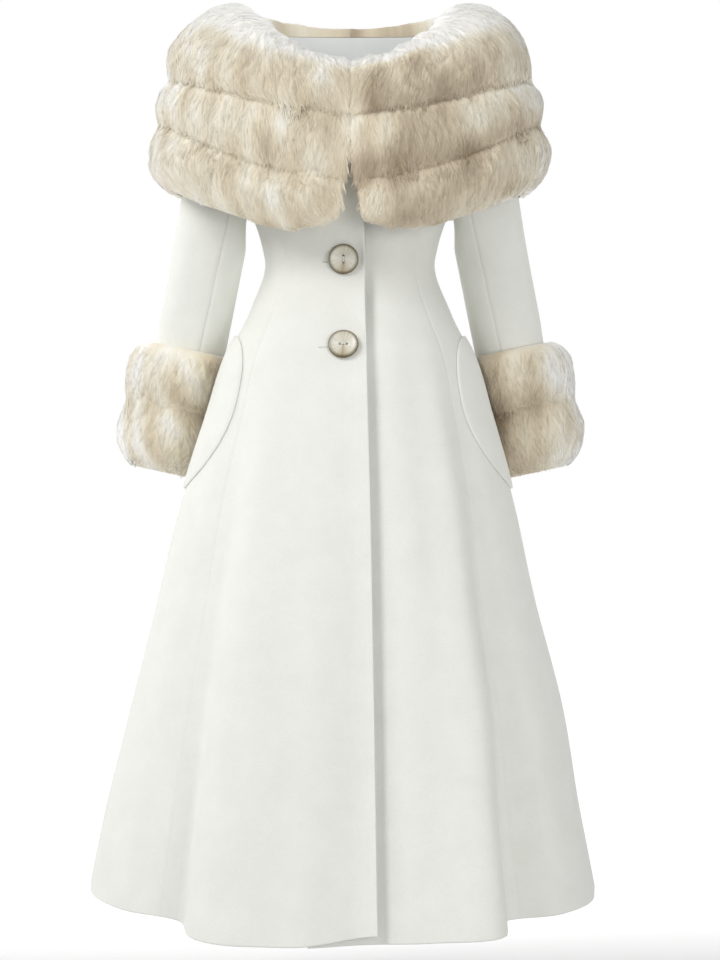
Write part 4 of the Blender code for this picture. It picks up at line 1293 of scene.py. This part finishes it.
def strand_tips(rng, band, s, t):
    """Where the strands that grow from some places of a band end."""
    fur, count = band.fur, len(s)
    across, down = fur_sizes(band.place, s, t)
    length = fur.length * rng.uniform(*STRAND_LENGTHS, count)
    slant = rng.normal(0.0, STRAND_LEAN, count) - band.lean_at(s, t)
    past = tuft_reach(band, s, np.ones(count)) * (STRAND_OVERHANG if fur.overlap else STRAND_FREE)
    tip_t = np.minimum(t + length / down, 1.0 + past - STRAND_UNEVEN * rng.random(count))
    tip_t = np.maximum(tip_t, t + STRAND_LEAST * length / down)
    tip_s = gathered(band, s + slant * length / across, tip_t, across)
    if fur.parted:
        tip_s = np.maximum(tip_s, -PART_OVERHANG * rng.uniform(PART_OVERHANG_LEAST, 1.0, count) / across)
    return tip_s, tip_t


def lay_strands(rng, band, first):
    """Strands that grow out of the tufts, as low roofs from root to tip with two bends between."""
    count = band.fur.strands
    s, t = scatter(rng, band.place, count, band.fur.first * STRAND_EARLY, STRAND_LAST)
    tip_s, tip_t = strand_tips(rng, band, s, t)
    fly = STRAND_FLY * rng.random(count) ** STRAND_FLY_POWER
    shade = rng.normal(0.0, STRAND_SHADE, count)

    ridges, floors, tones = [], [], []
    for share, lift in zip(STRAND_SHARES, STRAND_LIFTS):
        step_s, step_t = blend(s, tip_s, share), blend(t, tip_t, share)
        points, tone = fur_surface(band, step_s, step_t, lift + fly * share)
        ridges.append(points)
        floors.append(fur_surface(band, step_s, step_t, lift + fly * share - STRAND_DEPTH)[0])
        tones.append(tone + shade)
    outwards = unit(np.stack(ridges) - np.stack(floors))
    sideways = unit(np.cross(unit(np.gradient(np.stack(ridges), axis=0)), outwards))
    turn = rng.normal(0.0, STRAND_TURN, (count, 3))
    widths = STRAND_WIDTH * rng.uniform(*STRAND_BREADTHS, count)

    points, normals, chart = [], [], []
    for step, share in enumerate(STRAND_SHARES):
        for end in (-1, 0, 1) if STRAND_WIDTHS[step] else (0,):
            half = sideways[step] * (end * widths * STRAND_WIDTHS[step] / 2)[:, None]
            points.append((floors[step] if end else ridges[step]) + half)
            normals.append(unit(outwards[step] + end * STRAND_ROUND * sideways[step] + turn))
            chart.append(np.stack([tones[step] + end * TONE_WIDTH, np.full(count, share)], axis=-1))
    starts = first + np.arange(count)[:, None] * len(points)
    points, normals, chart = (np.stack(rows, axis=1).reshape(count * len(rows), -1)
                              for rows in (points, normals, chart))
    return points, normals, chart, [starts + np.array(face) for face in STRAND_FACES]


def add_fur(rng, name, band, side, material):
    """One band of fur: its tufts, its underside and its strands, joined in one mesh."""
    wrap = not band.fur.parted
    shell, shell_chart, shell_faces = fur_shell(band, wrap)
    base, base_chart, base_faces = fur_base(band, wrap, len(shell))
    under = np.concatenate([shell, base])
    points, normals, chart, faces = lay_strands(rng, band, len(under))
    if side > 0:
        shell_faces, base_faces = shell_faces[:, ::-1], base_faces[:, ::-1]
    mesh = new_mesh(name, np.concatenate([under, points]), [shell_faces, base_faces] + faces)
    corners = np.empty(len(mesh.loops), np.int32)
    mesh.loops.foreach_get("vertex_index", corners)
    chart = np.clip(np.concatenate([shell_chart, base_chart, chart]), *CHART_ENDS)
    layer = mesh.uv_layers.new(name="OFBake")
    layer.uv.foreach_set("vector", chart[corners].astype(np.float32).ravel())
    mesh.materials.append(material)
    mesh.set_sharp_from_angle(angle=math.radians(FUR_SHARP))
    mesh.normals_split_custom_set_from_vertices(np.concatenate([np.zeros_like(under), normals]))
    add_piece(name + "_fur", mesh, "fur", name)


def add_all_fur(material):
    rng = np.random.default_rng(SEED)
    lumps, patches, sway = (soft_noise(rng, sizes) for sizes in (LUMP_SIZES, PATCH_SIZES, SWAY_SIZES))
    for name, side in SIDES.items():
        bands = [("collar_", row, COLLAR_FUR, collar_place(row, name, side)) for row in COLLAR_BANDS]
        bands += [("cuff_", row, CUFF_FUR, cuff_place(row, side)) for row in CUFF_BANDS]
        for part, row, furs, place in bands:
            fur, place = furs[row.name], lumpy(place, lumps)
            lean_at = fur_leans(fur, place, sway)
            layers = tuft_layers(rng, place, lean_at)
            band = Band(fur, place, fur_tones(fur, FUR_HALVES[name], patches), lean_at, layers)
            add_fur(rng, part + row.name + "_" + name, band, side, material)


# Materials
def new_material(name, roughness, **sockets):
    """A material with its shader's constant values set, and its node tree for the rest."""
    material = bpy.data.materials.new(name)
    material.use_nodes = True
    shader = material.node_tree.nodes["Principled BSDF"]
    shader.inputs["Roughness"].default_value = roughness
    for socket, value in sockets.items():
        shader.inputs[socket.replace("_", " ")].default_value = value
    return material, material.node_tree, shader


def add_node(tree, kind, **values):
    """A node with some of its settings, or of its inputs' values, set."""
    node = tree.nodes.new(kind)
    for name, value in values.items():
        if name in node.bl_rna.properties:
            setattr(node, name, value)
        else:
            node.inputs[name].default_value = value
    return node


def add_pattern(tree, kind, **values):
    """A node that takes its places from the piece's own space."""
    node = add_node(tree, kind, **values)
    tree.links.new(tree.nodes.new("ShaderNodeTexCoord").outputs["Object"], node.inputs["Vector"])
    return node


def add_ramp(tree, source, stops):
    ramp = tree.nodes.new("ShaderNodeValToRGB")
    elements = ramp.color_ramp.elements
    while len(elements) < len(stops):
        elements.new(0.5)
    for element, (position, colour) in zip(elements, stops):
        element.position = position
        element.color = (*colour, 1.0)
    tree.links.new(source, ramp.inputs["Fac"])
    return ramp.outputs["Color"]


def add_range(tree, source, before, after):
    """A value eased from one range to another."""
    node = add_node(tree, "ShaderNodeMapRange", interpolation_type="SMOOTHSTEP")
    for socket, value in zip(("From Min", "From Max", "To Min", "To Max"), before + after):
        node.inputs[socket].default_value = value
    tree.links.new(source, node.inputs["Value"])
    return node.outputs["Result"]


def mix_colours(tree, kind, factor, first, second):
    node = tree.nodes.new("ShaderNodeMix")
    node.data_type = "RGBA"
    node.blend_type = kind
    node.inputs["Factor"].default_value = factor
    tree.links.new(first, node.inputs["A"])
    tree.links.new(second, node.inputs["B"])
    return node.outputs["Result"]


def add_bump(tree, shader, height, strength, distance):
    bump = add_node(tree, "ShaderNodeBump", Strength=strength, Distance=distance)
    tree.links.new(height, bump.inputs["Height"])
    tree.links.new(bump.outputs["Normal"], shader.inputs["Normal"])


def wool_material():
    """Brushed wool felt: near white, faintly mottled, with a short nap."""
    material, tree, shader = new_material("wool", 0.92, Sheen_Weight=0.25, Sheen_Roughness=0.45,
                                          Specular_IOR_Level=0.2)
    mottle = add_pattern(tree, "ShaderNodeTexNoise", Scale=26.0, Detail=4.0, Roughness=0.6)
    nap = add_pattern(tree, "ShaderNodeTexNoise", Scale=700.0, Detail=3.0, Roughness=0.7)
    base = add_ramp(tree, mottle.outputs["Fac"], ((0.3, (0.83, 0.838, 0.785)), (0.7, (0.87, 0.874, 0.83))))
    fleck = add_ramp(tree, nap.outputs["Fac"], ((0.25, (0.90, 0.90, 0.89)), (0.65, (1.0, 1.0, 1.0))))
    tree.links.new(mix_colours(tree, "MULTIPLY", 0.7, base, fleck), shader.inputs["Base Color"])
    add_bump(tree, shader, nap.outputs["Fac"], 0.35, 0.0006)
    return material


def lining_material():
    """Smooth pale grey lining with a fine twill."""
    material, tree, shader = new_material("lining", 0.50, Sheen_Weight=0.15, Specular_IOR_Level=0.35)
    twill = add_pattern(tree, "ShaderNodeTexWave", bands_direction="DIAGONAL", Scale=420.0, Distortion=0.4)
    mottle = add_pattern(tree, "ShaderNodeTexNoise", Scale=18.0, Detail=3.0)
    base = add_ramp(tree, mottle.outputs["Fac"], ((0.3, (0.90, 0.92, 0.905)), (0.7, (0.94, 0.955, 0.94))))
    thread = add_ramp(tree, twill.outputs["Fac"], ((0.0, (0.93, 0.93, 0.93)), (1.0, (1.0, 1.0, 1.0))))
    tree.links.new(mix_colours(tree, "MULTIPLY", 1.0, base, thread), shader.inputs["Base Color"])
    add_bump(tree, shader, twill.outputs["Fac"], 0.15, 0.0003)
    return material


def fur_material():
    """Fur coloured by its map: tone across it, root to tip along it."""
    material, tree, shader = new_material("fur", 0.75, Sheen_Weight=0.7, Sheen_Roughness=0.5,
                                          Specular_IOR_Level=0.15)
    chart = add_node(tree, "ShaderNodeUVMap", uv_map="OFBake")
    parts = tree.nodes.new("ShaderNodeSeparateXYZ")
    tree.links.new(chart.outputs["UV"], parts.inputs["Vector"])
    tone = add_ramp(tree, parts.outputs["X"], (
        (0.00, (0.16, 0.11, 0.06)), (0.25, (0.34, 0.26, 0.17)), (0.45, (0.54, 0.45, 0.33)),
        (0.62, (0.70, 0.61, 0.455)), (0.80, (0.835, 0.775, 0.63)), (1.00, (0.99, 0.99, 0.965))))
    length = add_ramp(tree, parts.outputs["Y"], (
        (0.00, (0.90, 0.88, 0.85)), (0.40, (1.0, 1.0, 1.0)), (1.00, (1.0, 1.0, 1.0))))
    tree.links.new(mix_colours(tree, "MULTIPLY", 1.0, tone, length), shader.inputs["Base Color"])
    return material


def horn_material():
    """Pale satin horn with a painted satin reflection: pale wedges to the sides are painted highlights and
    the brown wedge below is painted shade, with fine rays and a dark rim.
    """
    material, tree, shader = new_material("horn", 0.38, Coat_Weight=0.25, Coat_Roughness=0.20)
    round_it = add_pattern(tree, "ShaderNodeTexGradient", gradient_type="RADIAL")
    away = add_pattern(tree, "ShaderNodeVectorMath", operation="LENGTH")
    rays = add_node(tree, "ShaderNodeTexNoise", noise_dimensions="1D", Scale=34.0, Detail=3.0)
    tree.links.new(round_it.outputs["Fac"], rays.inputs["W"])
    brown, beige, pale = (0.50, 0.41, 0.28), (0.71, 0.68, 0.57), (0.85, 0.84, 0.76)
    # Painted reflection of a turned satin face: pale wedges are painted highlights, the brown one painted
    # shade
    painted_satin_wedges = add_ramp(tree, round_it.outputs["Fac"], (
        (0.00, brown), (0.09, beige), (0.24, pale), (0.40, beige), (0.55, beige), (0.74, pale), (0.91, beige),
        (1.00, brown)))
    fine = add_ramp(tree, rays.outputs["Fac"], ((0.3, (0.84, 0.82, 0.78)), (0.7, (1.0, 1.0, 1.0))))
    rim = add_ramp(tree, away.outputs["Value"], (
        (0.0168, (1.0, 1.0, 1.0)), (0.0184, (0.82, 0.79, 0.68)), (0.0192, (0.28, 0.25, 0.16)),
        (0.0205, (0.20, 0.18, 0.10))))
    colour = mix_colours(tree, "MULTIPLY", 1.0, mix_colours(tree, "MULTIPLY", 1.0, painted_satin_wedges, fine), rim)
    tree.links.new(colour, shader.inputs["Base Color"])
    return material


def thread_material():
    """Pale sewing thread with a fine twist."""
    material, tree, shader = new_material("thread", 0.7, Sheen_Weight=0.2)
    twist = add_pattern(tree, "ShaderNodeTexWave", Scale=900.0, Distortion=1.0)
    base = add_ramp(tree, twist.outputs["Fac"], ((0.0, (0.58, 0.58, 0.53)), (1.0, (0.80, 0.80, 0.75))))
    tree.links.new(base, shader.inputs["Base Color"])
    return material


# Stage
def add_floor():
    """Round pale floor that glows towards the bright end behind the coat."""
    mesh = bpy.data.meshes.new("floor")
    turns = np.linspace(0.0, 2 * math.pi, FLOOR_STEPS, endpoint=False)
    rim = [(FLOOR_RADIUS * math.cos(turn), FLOOR_RADIUS * math.sin(turn), FLOOR_LEVEL) for turn in turns]
    mesh.from_pydata(rim, [], [range(FLOOR_STEPS)])
    grey = (FLOOR_TONE, FLOOR_TONE, FLOOR_TONE, 1.0)
    white = (1.0, 1.0, 1.0, 1.0)
    material, tree, shader = new_material("pale_floor", 0.9, Base_Color=grey, Emission_Color=white)
    parts = add_pattern(tree, "ShaderNodeSeparateXYZ")
    glow = add_range(tree, parts.outputs["Y"], FLOOR_GLOW_RUN, FLOOR_GLOW)
    tree.links.new(glow, shader.inputs["Emission Strength"])
    mesh.materials.append(material)
    add_object("floor", mesh)


def add_world():
    """Soft light from all sides, with a bright end behind the coat."""
    world = bpy.data.worlds.new("studio")
    world.use_nodes = True
    tree = world.node_tree
    direction = tree.nodes.new("ShaderNodeTexCoord").outputs["Generated"]
    parts = tree.nodes.new("ShaderNodeSeparateXYZ")
    tree.links.new(direction, parts.inputs["Vector"])
    background = tree.nodes["Background"]
    background.inputs["Color"].default_value = (1.0, 1.0, 1.0, 1.0)
    strength = add_range(tree, parts.outputs["Y"], WORLD_BEHIND_RUN, (WORLD_AROUND, WORLD_BEHIND))
    tree.links.new(strength, background.inputs["Strength"])
    bpy.context.scene.world = world


def add_lamp(row):
    light = bpy.data.lights.new(row.name, "AREA")
    light.size = LAMP_SIZE
    light.spread = math.radians(LAMP_SPREAD)
    light.energy = row.energy
    lamp = add_object(row.name, light)
    lamp.location = row.place
    towards = Vector(LAMP_TARGET) - Vector(row.place)
    lamp.rotation_euler = towards.to_track_quat("-Z", "Y").to_euler()
    lamp.visible_camera = False


def add_stage():
    add_floor()
    add_world()
    for row in LAMPS:
        add_lamp(row)
    bpy.context.scene.view_settings.view_transform = "Standard"


def add_camera():
    data = bpy.data.cameras.new("camera")
    data.sensor_width = 36.0
    data.lens = CAMERA_LENS
    camera = add_object("camera", data)
    camera.location = CAMERA_PLACE
    camera.rotation_euler = (math.radians(90), 0.0, 0.0)
    bpy.context.scene.camera = camera


def main():
    add_camera()
    add_stage()
    wool, lining = wool_material(), lining_material()
    for name, side in SIDES.items():
        add_front(name, side, [wool, lining])
        for piece in SIDE_PANELS:
            add_side(name, piece, side, [wool, lining])
        add_back(name, side, [wool, lining])
        add_facing(name, side, lining)
        add_sleeve(name, side, [wool, lining])
        add_pocket(name, side, [wool])
    horn, thread = horn_material(), thread_material()
    for name, level in BUTTON_LEVELS.items():
        add_button(name, level, horn, thread)
        add_buttonhole(name, level, thread)
    add_all_fur(fur_material())


main()
